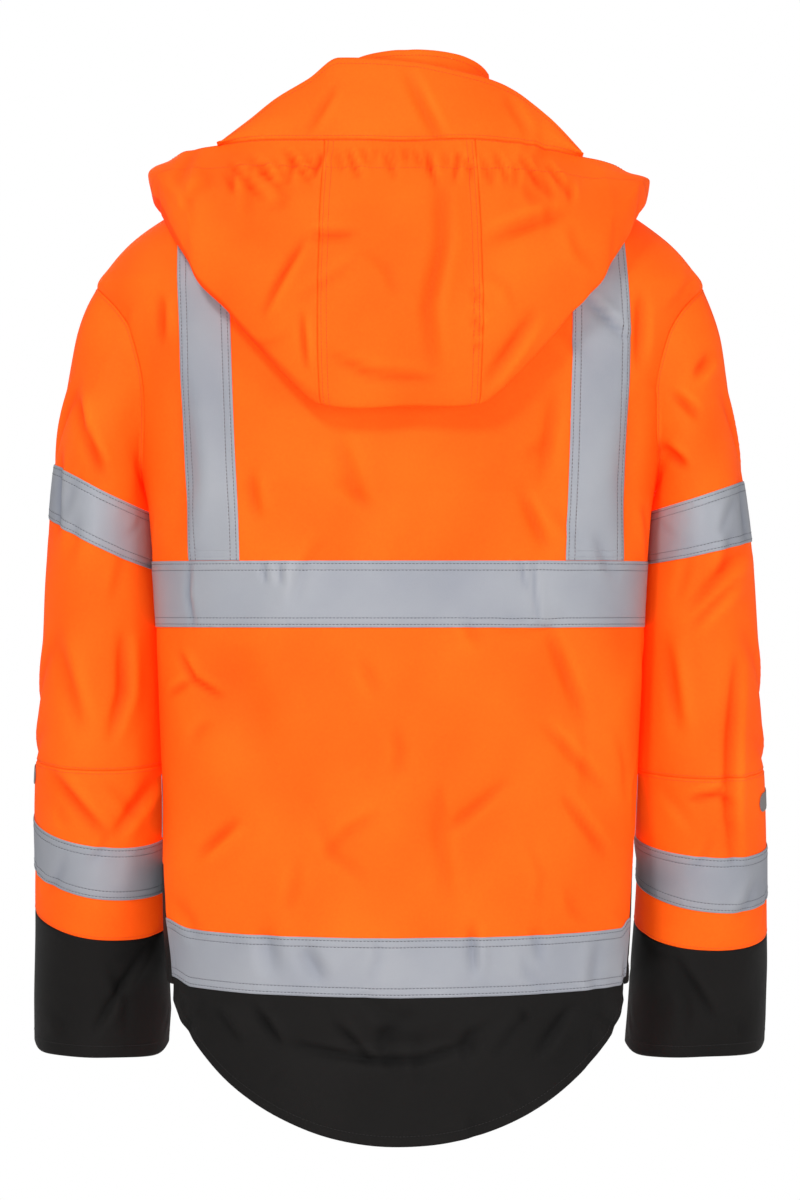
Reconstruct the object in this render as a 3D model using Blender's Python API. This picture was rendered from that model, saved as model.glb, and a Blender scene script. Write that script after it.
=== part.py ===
"""Hooded hi-vis work jacket, worn shape with no wearer inside.

Metres, +Z up. The front faces -Y, the back +Y and the wearer's left is +X. The origin lies in the
middle between the shoulders, by the nape. Every panel is a thin wall laid on one body form, one
sleeve form or one hood form, each worked out from the tables below.
"""

import bmesh
import bpy
import numpy as np

CLOTH = 0.0020            # thickness of the shell cloth
TAPE = 0.0008             # thickness of the reflective tape
GAP = 0.0003              # clearance between neighbouring pieces
TAPE_WIDTH = 0.062        # height of the waist band

# ---------------------------------------------------------------- body form
ARMPIT_Z = -0.300
SHOULDER_Z = -0.102
SHOULDER_X = 0.288
NECK_X = 0.080            # where the shoulder seam meets the collar
NECK_SIDE_Z = 0.035
NECK_BACK_Z = 0.018
NECK_FRONT_Z = -0.025
FRONT_EDGE_X = 0.0004     # the fronts meet on the centre line
WAIST_TOP = -0.3635
WAIST_LOW = WAIST_TOP - TAPE_WIDTH
FRONT_BAND_TOP = -0.565
FRONT_BAND_LOW = -0.625
FRONT_BLACK_Z = -0.650    # the black front hem panels start here
FRONT_HEM_Z = -0.762
TAIL_DROP = 0.140         # how far the tail hangs below the side hem
TAIL_SIDE_Z = -0.767
TAIL_HALF_WIDTH = 0.216
TAIL_ROUND = 2.05         # powers of the tail's curved edge
TAIL_FULL = 0.66


class Table:
    """Rows with named columns, read as smooth curves of the first column."""

    def __init__(self, names, rows):
        self.names = names.split()
        rows = sorted(rows)
        self.values = np.array(rows, dtype=float)

    def read(self, name, at):
        keys = self.values[:, 0]
        column = self.values[:, self.names.index(name)]
        steps = np.diff(keys)
        slopes = np.diff(column) / steps
        tangents = np.zeros(len(keys))
        tangents[0] = slopes[0]
        tangents[-1] = slopes[-1]
        for k in range(1, len(keys) - 1):
            if slopes[k - 1] * slopes[k] > 0:
                near = 2 * steps[k] + steps[k - 1]
                far = steps[k] + 2 * steps[k - 1]
                tangents[k] = (near + far) / (near / slopes[k - 1] + far / slopes[k])
        at = min(max(float(at), keys[0]), keys[-1])
        k = int(min(max(np.searchsorted(keys, at) - 1, 0), len(keys) - 2))
        t = (at - keys[k]) / steps[k]
        rise = (1 - t) ** 2 * (1 + 2 * t) * column[k] + t * t * (3 - 2 * t) * column[k + 1]
        bend = t * (1 - t) * ((1 - t) * tangents[k] - t * tangents[k + 1])
        return rise + bend * steps[k]


BODY = Table("height half_width back_y front_y side_y roundness", [
    (+0.035, 0.080, 0.062, -0.062, 0.000, 2.00),
    (+0.018, 0.114, 0.078, -0.075, 0.001, 2.00),
    (+0.000, 0.152, 0.092, -0.087, 0.002, 2.00),
    (-0.035, 0.220, 0.108, -0.104, 0.004, 2.05),
    (-0.062, 0.257, 0.115, -0.112, 0.005, 2.10),
    (-0.085, 0.277, 0.119, -0.118, 0.005, 2.15),
    (-0.102, 0.288, 0.121, -0.121, 0.005, 2.20),
    (-0.130, 0.277, 0.124, -0.125, 0.004, 2.25),
    (-0.165, 0.266, 0.127, -0.128, 0.003, 2.30),
    (-0.210, 0.256, 0.130, -0.131, 0.002, 2.40),
    (-0.300, 0.247, 0.131, -0.132, 0.000, 2.50),
    (-0.395, 0.240, 0.129, -0.130, 0.000, 2.50),
    (-0.500, 0.236, 0.127, -0.129, 0.002, 2.50),
    (-0.600, 0.231, 0.124, -0.127, 0.005, 2.45),
    (-0.700, 0.226, 0.120, -0.125, 0.008, 2.40),
    (-0.770, 0.221, 0.116, -0.123, 0.010, 2.40),
    (-0.910, 0.218, 0.108, -0.120, 0.012, 2.40),
])

# Turns are degrees round the body: 0 is the middle of the back, 90 the left side, 180 the front.
SIDE_SEAM = Table("height turn", [
    (-0.300, 90.0), (-0.400, 90.0), (-0.480, 88.5), (-0.560, 85.0),
    (-0.650, 79.5), (-0.710, 76.0), (-0.740, 75.0), (-0.800, 75.0),
])
ARMHOLE = Table("height back_turn front_turn", [
    (-0.300, 90.0, 90.0), (-0.283, 80.0, 99.0), (-0.260, 75.0, 106.0), (-0.225, 71.0, 111.0),
    (-0.180, 68.5, 113.0), (-0.150, 69.0, 111.0), (-0.125, 73.5, 106.0), (-0.108, 81.0, 98.0),
    (-0.102, 90.0, 90.0),
])
BRACE = Table("height left_inner left_outer right_inner right_outer", [
    (-0.430, 0.1475, 0.1960, 0.1520, 0.2080), (-0.3635, 0.1480, 0.1970, 0.1530, 0.2090),
    (-0.250, 0.1530, 0.2030, 0.1570, 0.2120), (-0.140, 0.1570, 0.2055, 0.1595, 0.2145),
    (-0.060, 0.1590, 0.2080, 0.1590, 0.2110), (+0.035, 0.1590, 0.2080, 0.1590, 0.2080),
])
HEM_BAND = Table("reach top low", [
    (0.000, -0.7120, -0.7680), (0.100, -0.7105, -0.7655), (0.160, -0.7070, -0.7615),
    (0.216, -0.6990, -0.7545),
])
BAND_BEND = (-0.60, -0.697)   # the back's rows begin to bend down, and are bent in full
# Broad folds of the body: they run from one point to the other, seen from behind (+) or the front (-).
BODY_FOLDS = [
    # face,   x0,     z0,     x1,     z1,   width,  depth
    (+1, -0.146, -0.215, -0.134, -0.285, 0.016, -0.0050),
    (+1, -0.114, -0.305, -0.133, -0.350, 0.012, -0.0040),
    (+1, +0.058, -0.250, +0.038, -0.310, 0.020, -0.0035),
    (+1, +0.139, -0.285, +0.133, -0.320, 0.015, -0.0035),
    (+1, -0.140, -0.430, -0.168, -0.510, 0.016, -0.0045),
    (+1, -0.138, -0.520, -0.190, -0.575, 0.017, -0.0045),
    (+1, +0.152, -0.610, +0.190, -0.640, 0.018, -0.0050),
    (+1, -0.045, -0.610, -0.030, -0.690, 0.020, -0.0035),
    (+1, -0.100, -0.575, -0.045, -0.612, 0.015, -0.0030),
    (+1, +0.090, -0.815, -0.060, -0.812, 0.013, -0.0045),
    (-1, +0.120, -0.240, +0.080, -0.330, 0.018, -0.0045),
    (-1, -0.125, -0.230, -0.085, -0.320, 0.018, -0.0045),
    (-1, +0.150, -0.470, +0.110, -0.560, 0.018, -0.0040),
    (-1, -0.145, -0.455, -0.115, -0.540, 0.018, -0.0040),
]
ARM_DENT = Table("height left right", [   # how far each arm presses the side in
    (-0.800, 0.000, 0.003), (-0.720, 0.000, 0.011), (-0.660, 0.003, 0.014), (-0.580, 0.012, 0.013),
    (-0.320, 0.012, 0.012), (-0.270, 0.000, 0.000),
])
ARM_DENT_Y = -0.020
ARM_DENT_REACH = 0.056


def smooth(low, high, value):
    t = min(max((value - low) / (high - low), 0.0), 1.0)
    return t * t * (3 - 2 * t)


def lerp(a, b, t):
    return a + (b - a) * t


def unit(vector):
    vector = np.asarray(vector, dtype=float)
    return vector / max(float(np.linalg.norm(vector)), 1e-12)


def section_y(height, reach, face):
    """Y of the body's skin where it is reach metres from the centre plane."""
    half = BODY.read("half_width", height)
    power = BODY.read("roundness", height)
    side = BODY.read("side_y", height)
    crown = BODY.read("back_y" if face > 0 else "front_y", height)
    share = min(abs(reach) / half, 1.0)
    return side + (crown - side) * (1 - share ** power) ** (1 / power)


def turn_at(height, reach, face):
    """Turn of the skin point that is reach metres from the centre plane."""
    share = min(abs(reach) / BODY.read("half_width", height), 1.0)
    angle = np.degrees(np.arcsin(share))
    angle = angle if face > 0 else 180 - angle
    return angle if reach >= 0 else -angle


def fold_push(x, z, face):
    """Depth of the broad folds at a place of the body."""
    push = 0.0
    for side, x0, z0, x1, z1, width, depth in BODY_FOLDS:
        if side != face:
            continue
        along = np.array([x1 - x0, z1 - z0])
        length = float(np.linalg.norm(along))
        t = ((x - x0) * along[0] + (z - z0) * along[1]) / length ** 2
        t_near = min(max(t, 0.0), 1.0)
        off = np.hypot(x - x0 - along[0] * t_near, z - z0 - along[1] * t_near)
        push += depth * np.exp(-(off / width) ** 2)
    return push


def body_point(turn, height):
    """Point of the body's outer skin."""
    face = 1 if abs(turn) <= 90 else -1
    half = BODY.read("half_width", height)
    x = half * np.sin(np.radians(turn))
    y = section_y(height, x, face)
    press = ARM_DENT.read("left" if x > 0 else "right", height)
    near_arm = np.exp(-((y - ARM_DENT_Y) / ARM_DENT_REACH) ** 2)
    x -= np.sign(x) * press * near_arm * smooth(0.15, 0.20, abs(x))
    y += face * fold_push(x, height, face) * smooth(0.0, 0.05, abs(y))
    return np.array([x, y, height])


def body_normal(turn, height):
    """Direction out of the body's skin."""
    step_turn = 1.5
    step_height = 0.004
    across = body_point(turn + step_turn, height) - body_point(turn - step_turn, height)
    up = body_point(turn, height + step_height) - body_point(turn, height - step_height)
    normal = unit(np.cross(across, up))
    outward = body_point(turn, height) - np.array([0.0, 0.0, height - 0.08])
    return -normal if normal @ outward < 0 else normal


# ---------------------------------------------------------------- mesh building
MATERIALS = {
    # name: (red, green, blue, roughness)
    "orange_cloth": (1.00, 0.14, 0.02, 0.62),
    "black_cloth": (0.010, 0.009, 0.009, 0.60),
    "reflective_tape": (0.40, 0.42, 0.46, 0.38),
}


def material(name):
    made = bpy.data.materials.get(name)
    if made:
        return made
    made = bpy.data.materials.new(name)
    made.use_nodes = True
    shader = made.node_tree.nodes["Principled BSDF"]
    red, green, blue, rough = MATERIALS[name]
    shader.inputs["Base Color"].default_value = (red, green, blue, 1)
    shader.inputs["Roughness"].default_value = rough
    shader.inputs["Metallic"].default_value = 0.0
    return made


def add_wall(name, outer, inner, finish, closed=False):
    """One closed solid between two equal grids of points; closed joins the last column to the first."""
    outer = np.asarray(outer)
    inner = np.asarray(inner)
    rows, columns = outer.shape[:2]
    mesh = bmesh.new()
    skins = [[[mesh.verts.new(p) for p in row] for row in grid] for grid in (outer, inner)]
    spans = columns if closed else columns - 1
    for i in range(rows - 1):
        for j in range(spans):
            k = (j + 1) % columns
            for skin, flip in zip(skins, (False, True)):
                a, b, c, d = skin[i][j], skin[i][k], skin[i + 1][k], skin[i + 1][j]
                for corners in ((a, b, c), (a, c, d)):
                    mesh.faces.new(corners[::-1] if flip else corners)
    front, back = skins
    pairs = [((0, j), (0, (j + 1) % columns), False) for j in range(spans)]
    pairs += [((rows - 1, j), (rows - 1, (j + 1) % columns), True) for j in range(spans)]
    if not closed:
        pairs += [((i, 0), (i + 1, 0), True) for i in range(rows - 1)]
        pairs += [((i, columns - 1), (i + 1, columns - 1), False) for i in range(rows - 1)]
    for (i, j), (m, n), flip in pairs:
        here, there = (front[i][j], back[i][j]), (front[m][n], back[m][n])
        for corners in ((here[0], here[1], there[1]), (here[0], there[1], there[0])):
            mesh.faces.new(corners[::-1] if flip else corners)
    if mesh.calc_volume(signed=True) < 0:
        bmesh.ops.reverse_faces(mesh, faces=mesh.faces)
    data = bpy.data.meshes.new(name)
    mesh.to_mesh(data)
    mesh.free()
    data.shade_smooth()
    data.set_sharp_from_angle(angle=np.radians(50))
    data.materials.append(material(finish))
    made = bpy.data.objects.new(name, data)
    bpy.context.collection.objects.link(made)
    return made


def trimmed(grid, sides, amount=GAP / 2):
    """The grid with the named border rows or columns drawn in along the cloth."""
    grid = np.array(grid, dtype=float)
    borders = {"low": (0, 1, 0), "top": (-1, -2, 0), "first": (0, 1, 1), "last": (-1, -2, 1)}
    for side in sides:
        edge, inside, axis = borders[side]
        line = grid[edge] if axis == 0 else grid[:, edge]
        beside = grid[inside] if axis == 0 else grid[:, inside]
        gaps = np.linalg.norm(beside - line, axis=1, keepdims=True)
        moved = line + (beside - line) * amount / np.maximum(gaps, 1e-9)
        if axis == 0:
            grid[edge] = moved
        else:
            grid[:, edge] = moved
    return grid


def offset(points, normals, distance):
    return np.asarray(points) + np.asarray(normals) * distance


def add_panel(name, points, normals, finish, trims):
    """A cloth panel: its outer skin is the given points, its wall goes inward."""
    outer = trimmed(points, trims)
    inner = trimmed(offset(points, normals, -CLOTH), trims)
    return add_wall(name, outer, inner, finish)


def add_tape(name, points, normals, closed=False, trims=("low", "top")):
    """A tape on a panel: the panel's own points, moved out."""
    outer = offset(points, normals, GAP + TAPE)
    inner = offset(points, normals, GAP)
    outer = trimmed(outer, trims)
    inner = trimmed(inner, trims)
    return add_wall(name, outer, inner, "reflective_tape", closed)


# ---------------------------------------------------------------- body grids
NECK_COLUMNS = [0.0, 0.027, 0.050, 0.066, 0.0755, NECK_X]   # reach at the collar seam
YOKE_COLUMNS = [0.116]    # reach along the shoulder seam
BRACE_STEPS = 2
EDGE_STEPS = 3
SHOULDER_ROWS = 10
BAND_LOW_Z = -0.7545      # the back's hem band at the side seams
SEAM_Z = -0.7465          # and the seam of the black tail under it
BAND_TOP_Z = -0.699
LOWER_HEIGHTS = [
    FRONT_HEM_Z, BAND_LOW_Z, SEAM_Z, BAND_TOP_Z, FRONT_BLACK_Z, FRONT_BAND_LOW,
    FRONT_BAND_TOP, -0.520, -0.472, WAIST_LOW, WAIST_TOP, -0.332,
]
BAND_LOW_ROW = LOWER_HEIGHTS.index(BAND_LOW_Z)
SEAM_ROW = LOWER_HEIGHTS.index(SEAM_Z)
BAND_TOP_ROW = LOWER_HEIGHTS.index(BAND_TOP_Z)
TAIL_ROWS = 5


def ridge_height(reach):
    """Height of the shoulder line at a distance from the centre."""
    low, high = SHOULDER_Z, NECK_SIDE_Z
    for _ in range(50):
        middle = (low + high) / 2
        if BODY.read("half_width", middle) > reach:
            low = middle
        else:
            high = middle
    return (low + high) / 2


def top_height(reach, face):
    """Height of a panel's top edge: the neckline, then the shoulder seam."""
    if reach >= NECK_X:
        return ridge_height(reach)
    share = reach / NECK_X
    if face > 0:
        return lerp(NECK_BACK_Z, NECK_SIDE_Z, share ** 2)
    return lerp(NECK_FRONT_Z, NECK_SIDE_Z, share ** 2.2)


def half_columns(face):
    """Reach at the top edge for each column from the centre out, with the brace's own columns."""
    inner = BRACE.read("left_inner", NECK_SIDE_Z)
    outer = BRACE.read("left_outer", NECK_SIDE_Z)
    near = [FRONT_EDGE_X] + NECK_COLUMNS[1:] if face < 0 else list(NECK_COLUMNS)
    reach = near + YOKE_COLUMNS
    reach += [lerp(inner, outer, k / BRACE_STEPS) for k in range(BRACE_STEPS + 1)]
    reach += [lerp(outer, SHOULDER_X, np.sin(np.pi / 2 * k / EDGE_STEPS)) for k in range(1, EDGE_STEPS + 1)]
    return reach


BRACE_FIRST = len(NECK_COLUMNS) + len(YOKE_COLUMNS)
BRACE_LAST = BRACE_FIRST + BRACE_STEPS


def column_turns(side, height_of, edge_turn, face, mix):
    """Turn of each column in a row; mix goes from 0, low down, to 1 on the shoulder seam."""
    tops = half_columns(face)
    turns = []
    for j, top in enumerate(tops):
        height = height_of(j)
        inner = lerp(BRACE.read(side + "_inner", height), tops[BRACE_FIRST], mix)
        outer = lerp(BRACE.read(side + "_outer", height), tops[BRACE_LAST], mix)
        if j <= BRACE_FIRST:
            turns.append(turn_at(height, inner * top / tops[BRACE_FIRST], face))
        elif j <= BRACE_LAST:
            share = (j - BRACE_FIRST) / BRACE_STEPS
            turns.append(turn_at(height, lerp(inner, outer, share), face))
        else:
            share = (j - BRACE_LAST) / EDGE_STEPS
            by_turn = lerp(turn_at(height, outer, face), edge_turn, share)
            edge_height = height_of(len(tops) - 1)
            edge_x = BODY.read("half_width", edge_height) * np.sin(np.radians(edge_turn))
            by_reach = turn_at(height, lerp(outer, edge_x, np.sin(np.pi / 2 * share)), face)
            turns.append(lerp(by_turn, by_reach, mix))
    return turns


def back_row_height(height, reach):
    """Rows of the back bend down to follow the curved hem band."""
    bend = smooth(*BAND_BEND, height)
    at_side = HEM_BAND.read("top", TAIL_HALF_WIDTH)
    drop = HEM_BAND.read("top", reach) - at_side
    low_side = HEM_BAND.read("low", TAIL_HALF_WIDTH)
    span = (height - low_side) / (at_side - low_side)
    low_drop = HEM_BAND.read("low", reach) - low_side
    return height + bend * lerp(low_drop, drop, min(max(span, 0.0), 1.0))


def tail_hem(reach):
    """Height of the tail's curved lower edge."""
    share = min(abs(reach) / TAIL_HALF_WIDTH, 1.0)
    return TAIL_SIDE_Z - TAIL_DROP * (1 - share ** TAIL_ROUND) ** TAIL_FULL


def half_grid(side, face):
    """Turns and heights of one half panel, centre to edge, hem to shoulder seam."""
    tops = half_columns(face)
    last = len(tops) - 1
    rows = []
    for height in LOWER_HEIGHTS:
        def height_of(j, height=height):
            reach = tops[j] * TAIL_HALF_WIDTH / SHOULDER_X
            return back_row_height(height, reach) if face > 0 else height
        turns = column_turns(side, height_of, SIDE_SEAM.read("turn", height), face, 0.0)
        rows.append([(turns[j], height_of(j)) for j in range(last + 1)])
    for i in range(SHOULDER_ROWS + 1):
        share = np.sin(np.pi / 2 * i / SHOULDER_ROWS)
        def height_of(j, share=share):
            return lerp(ARMPIT_Z, top_height(tops[j], face), share)
        edge = ARMHOLE.read("back_turn" if face > 0 else "front_turn", height_of(last))
        turns = column_turns(side, height_of, edge, face, smooth(0.3, 1.0, i / SHOULDER_ROWS))
        rows.append([(turns[j], height_of(j)) for j in range(last + 1)])
    if face > 0:
        seam = rows[BAND_LOW_ROW]
        lower = []
        for i in range(TAIL_ROWS):
            row = []
            for turn, height in seam:
                reach = BODY.read("half_width", height) * np.sin(np.radians(turn))
                row.append((turn, lerp(tail_hem(reach), height, i / TAIL_ROWS)))
            lower.append(row)
        rows = lower + rows[BAND_LOW_ROW:]
    return rows


def grid_points(rows, mirror):
    """Skin points and outward directions for rows of turns and heights."""
    sign = -1 if mirror else 1
    points = [[body_point(sign * turn, height) for turn, height in row] for row in rows]
    normals = [[body_normal(sign * turn, height) for turn, height in row] for row in rows]
    return np.array(points), np.array(normals)


def body_grids():
    grids = {}
    for side, mirror in (("left", False), ("right", True)):
        for face in (1, -1):
            grids[side, face] = grid_points(half_grid(side, face), mirror)
    back = []
    for part in (0, 1):
        right = grids["right", 1][part][:, :0:-1]
        back.append(np.concatenate([right, grids["left", 1][part]], axis=1))
    grids["back"] = tuple(back)
    return grids


# Rows of the back grid, which starts with the tail, and of the front grids.
BACK_SHIFT = TAIL_ROWS - BAND_LOW_ROW
WAIST_LOW_ROW = LOWER_HEIGHTS.index(WAIST_LOW)
WAIST_TOP_ROW = LOWER_HEIGHTS.index(WAIST_TOP)
FRONT_BLACK_ROW = LOWER_HEIGHTS.index(FRONT_BLACK_Z)
FRONT_BAND_ROWS = slice(LOWER_HEIGHTS.index(FRONT_BAND_LOW), LOWER_HEIGHTS.index(FRONT_BAND_TOP) + 1)
ARMPIT_ROW = len(LOWER_HEIGHTS)
FLAP_COLUMNS = 2          # columns of each front under the storm flap


def part_of(grid, rows, columns=slice(None)):
    points, normals = grid
    return points[rows, columns], normals[rows, columns]


def build_back(grids):
    back = grids["back"]
    seam = SEAM_ROW + BACK_SHIFT
    add_panel("back_panel", *part_of(back, slice(seam, None)), "orange_cloth",
              ("low", "top", "first", "last"))
    add_panel("back_tail", *part_of(back, slice(0, seam + 1)), "black_cloth", ("top", "first", "last"))
    band = slice(BAND_LOW_ROW + BACK_SHIFT, BAND_TOP_ROW + BACK_SHIFT + 1)
    add_tape("hem_band_back", *part_of(back, band), trims=("first", "last"))
    band = slice(WAIST_LOW_ROW + BACK_SHIFT, WAIST_TOP_ROW + BACK_SHIFT + 1)
    add_tape("waist_band_back", *part_of(back, band), trims=("top", "first", "last"))
    middle = len(half_columns(1)) - 1
    braces = {
        "brace_left_back": slice(middle + BRACE_FIRST, middle + BRACE_LAST + 1),
        "brace_right_back": slice(middle - BRACE_LAST, middle - BRACE_FIRST + 1),
    }
    for name, columns in braces.items():
        add_tape(name, *part_of(back, slice(WAIST_TOP_ROW + BACK_SHIFT, None), columns))


def build_fronts(grids):
    for side in ("left", "right"):
        grid = grids[side, -1]
        add_panel("front_" + side, *part_of(grid, slice(FRONT_BLACK_ROW, None)), "orange_cloth",
                  ("low", "top", "last"))
        add_panel(f"front_{side}_hem", *part_of(grid, slice(0, FRONT_BLACK_ROW + 1)), "black_cloth",
                  ("top", "last"))
        beyond_flap = slice(FLAP_COLUMNS - 1, None)
        add_tape("waist_band_" + side, *part_of(grid, slice(WAIST_LOW_ROW, WAIST_TOP_ROW + 1), beyond_flap),
                 trims=("top", "first", "last"))
        add_tape("hem_band_" + side, *part_of(grid, FRONT_BAND_ROWS, beyond_flap), trims=("first", "last"))
        add_tape(f"brace_{side}_front",
                 *part_of(grid, slice(WAIST_TOP_ROW, None), slice(BRACE_FIRST, BRACE_LAST + 1)))


def build_flap(grids):
    """The storm flap lies over the fronts where they meet."""
    halves = [part_of(grids["left", -1], slice(None), slice(FLAP_COLUMNS - 1, None, -1)),
              part_of(grids["right", -1], slice(None), slice(0, FLAP_COLUMNS))]
    points = np.concatenate([half[0] for half in halves], axis=1)
    normals = np.concatenate([half[1] for half in halves], axis=1)
    sides = ("top", "first", "last")
    outer = trimmed(offset(points, normals, GAP + CLOTH), sides)
    inner = trimmed(offset(points, normals, GAP), sides)
    for name, rows, finish in (("storm_flap", slice(FRONT_BLACK_ROW, None), "orange_cloth"),
                               ("storm_flap_hem", slice(0, FRONT_BLACK_ROW + 1), "black_cloth")):
        edges = ("low",) if rows.start else ("top",)
        add_wall(name, trimmed(outer[rows], edges), trimmed(inner[rows], edges), finish)


# ---------------------------------------------------------------- collar
COLLAR_BACK_Z = 0.113
COLLAR_FRONT_Z = 0.078
COLLAR_LEAN_X = -0.012    # the top leans to the right
COLLAR_TOP_BACK_Y = 0.060
COLLAR_TOP_FRONT_Y = -0.072
COLLAR_TOP_HALF = 0.078
COLLAR_ROUND_Y = 0.075    # depth of the neckline for the same turn of the collar
COLLAR_ROWS = 5


def grid_normals(points, first_row=None, closed=False):
    """Directions across a grid of points, from its own neighbours."""
    points = np.asarray(points)
    if closed:
        across = np.roll(points, -1, axis=1) - np.roll(points, 1, axis=1)
    else:
        across = np.gradient(points, axis=1)
    along = np.gradient(points, axis=0)
    normals = np.cross(across, along)
    normals /= np.maximum(np.linalg.norm(normals, axis=2, keepdims=True), 1e-12)
    if first_row is not None:
        if (normals[1] * first_row).sum() < 0:
            normals = -normals
        normals[0] = first_row
    return normals


def neckline(grids):
    """Top points of the fronts and the back round the neck, from the left front to the right front."""
    count = len(NECK_COLUMNS)
    middle = len(half_columns(1)) - 1
    parts = [part_of(grids["left", -1], -1, slice(0, count)),
             part_of(grids["back"], -1, slice(middle + count - 2, middle - count + 1, -1)),
             part_of(grids["right", -1], -1, slice(count - 1, None, -1))]
    return [np.concatenate([part[k] for part in parts], axis=0) for k in (0, 1)]


def build_collar(grids):
    base, normals = neckline(grids)
    rows = []
    for i in range(COLLAR_ROWS):
        share = i / (COLLAR_ROWS - 1)
        row = []
        for point in base:
            angle = np.arctan2(point[0] / NECK_X, point[1] / COLLAR_ROUND_Y)
            depth = COLLAR_TOP_BACK_Y if np.cos(angle) > 0 else -COLLAR_TOP_FRONT_Y
            top = np.array([
                COLLAR_TOP_HALF * np.sin(angle),
                depth * np.cos(angle),
                lerp(COLLAR_FRONT_Z, COLLAR_BACK_Z, smooth(-0.06, 0.07, point[1])),
            ])
            if abs(point[0]) < 0.001 and point[1] < 0:
                top[0] = point[0]
            lean = COLLAR_LEAN_X * smooth(-0.08, 0.04, point[1]) * share ** 2
            row.append(lerp(point, top, share) + np.array([lean, 0.0, 0.0]))
        rows.append(row)
    onward = np.cross(np.gradient(base, axis=0), normals)
    onward /= np.linalg.norm(onward, axis=1, keepdims=True)
    onward *= np.sign(onward[:, 2:] - onward[:, :1] * np.sign(base[:, :1]))
    rows = np.array(rows) + onward * GAP
    directions = grid_normals(rows, first_row=normals)
    add_wall("collar", rows, offset(rows, directions, -CLOTH), "orange_cloth")


# ---------------------------------------------------------------- sleeves
# One ring to a row. Outer and inner are the points farthest from and nearest to the body; sag is how
# much the back of the ring hangs below its middle; share is how much of the armhole's shape is left.
SLEEVE_NAMES = "ring outer_x outer_z inner_x inner_z centre_y half_depth sag share"
SLEEVES = {
    "left": Table(SLEEVE_NAMES, [
        (0, 0.2880, -0.1020, 0.2362, -0.3000, +0.000, 0.078, 0.00, 1.00),
        (1, 0.2985, -0.1215, 0.2395, -0.2915, +0.000, 0.079, 0.00, 0.85),
        (2, 0.3075, -0.1465, 0.2425, -0.2960, -0.002, 0.081, 0.00, 0.60),
        (3, 0.3145, -0.1810, 0.2428, -0.3030, -0.004, 0.082, 0.00, 0.35),
        (4, 0.3215, -0.2220, 0.2425, -0.3100, -0.007, 0.082, 0.00, 0.15),
        (5, 0.3293, -0.2702, 0.2420, -0.3180, -0.010, 0.081, 0.00, 0.03),
        (6, 0.3330, -0.2960, 0.2405, -0.3450, -0.011, 0.080, 0.01, 0.00),
        (7, 0.3355, -0.3217, 0.2390, -0.3720, -0.012, 0.079, 0.02, 0.00),
        (8, 0.3385, -0.3720, 0.2370, -0.4120, -0.012, 0.076, 0.03, 0.00),
        (9, 0.3410, -0.4300, 0.2350, -0.4550, -0.011, 0.073, 0.05, 0.00),
        (10, 0.3450, -0.4950, 0.2330, -0.5050, -0.010, 0.071, 0.08, 0.00),
        (11, 0.3484, -0.5515, 0.2300, -0.5545, -0.012, 0.068, 0.11, 0.00),
        (12, 0.3500, -0.5820, 0.2300, -0.5900, -0.019, 0.067, 0.19, 0.00),
        (13, 0.3513, -0.6060, 0.2300, -0.6240, -0.028, 0.066, 0.26, 0.00),
        (14, 0.3515, -0.6305, 0.2295, -0.6495, -0.035, 0.066, 0.26, 0.00),
        (15, 0.3515, -0.6550, 0.2290, -0.6750, -0.042, 0.066, 0.27, 0.00),
        (16, 0.3525, -0.6970, 0.2295, -0.7130, -0.052, 0.065, 0.28, 0.00),
        (17, 0.3540, -0.7450, 0.2290, -0.7550, -0.061, 0.064, 0.18, 0.00),
        (18, 0.3555, -0.7920, 0.2275, -0.7980, -0.069, 0.063, 0.08, 0.00),
        (19, 0.3560, -0.8370, 0.2250, -0.8400, -0.075, 0.062, 0.00, 0.00),
    ]),
    "right": Table(SLEEVE_NAMES, [
        (0, 0.2880, -0.1020, 0.2362, -0.3000, +0.000, 0.078, 0.00, 1.00),
        (1, 0.2965, -0.1225, 0.2395, -0.2915, +0.000, 0.079, 0.00, 0.85),
        (2, 0.3045, -0.1490, 0.2425, -0.2960, -0.002, 0.081, 0.00, 0.60),
        (3, 0.3105, -0.1850, 0.2428, -0.3030, -0.004, 0.082, 0.00, 0.35),
        (4, 0.3175, -0.2300, 0.2425, -0.3095, -0.007, 0.082, 0.00, 0.15),
        (5, 0.3275, -0.2864, 0.2425, -0.3165, -0.010, 0.081, 0.00, 0.03),
        (6, 0.3320, -0.3150, 0.2415, -0.3420, -0.011, 0.080, 0.01, 0.00),
        (7, 0.3355, -0.3437, 0.2400, -0.3660, -0.012, 0.079, 0.02, 0.00),
        (8, 0.3395, -0.3880, 0.2375, -0.4060, -0.012, 0.076, 0.03, 0.00),
        (9, 0.3425, -0.4420, 0.2350, -0.4520, -0.011, 0.073, 0.05, 0.00),
        (10, 0.3455, -0.5020, 0.2330, -0.5050, -0.010, 0.071, 0.08, 0.00),
        (11, 0.3484, -0.5600, 0.2300, -0.5600, -0.012, 0.068, 0.12, 0.00),
        (12, 0.3505, -0.5970, 0.2300, -0.5930, -0.019, 0.067, 0.17, 0.00),
        (13, 0.3520, -0.6340, 0.2300, -0.6260, -0.028, 0.066, 0.20, 0.00),
        (14, 0.3530, -0.6590, 0.2305, -0.6480, -0.035, 0.066, 0.25, 0.00),
        (15, 0.3540, -0.6835, 0.2285, -0.6700, -0.042, 0.066, 0.29, 0.00),
        (16, 0.3550, -0.7200, 0.2265, -0.7120, -0.052, 0.065, 0.27, 0.00),
        (17, 0.3560, -0.7580, 0.2235, -0.7550, -0.061, 0.064, 0.18, 0.00),
        (18, 0.3560, -0.7975, 0.2210, -0.7980, -0.069, 0.063, 0.08, 0.00),
        (19, 0.3550, -0.8370, 0.2190, -0.8400, -0.075, 0.062, 0.00, 0.00),
    ]),
}
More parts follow.
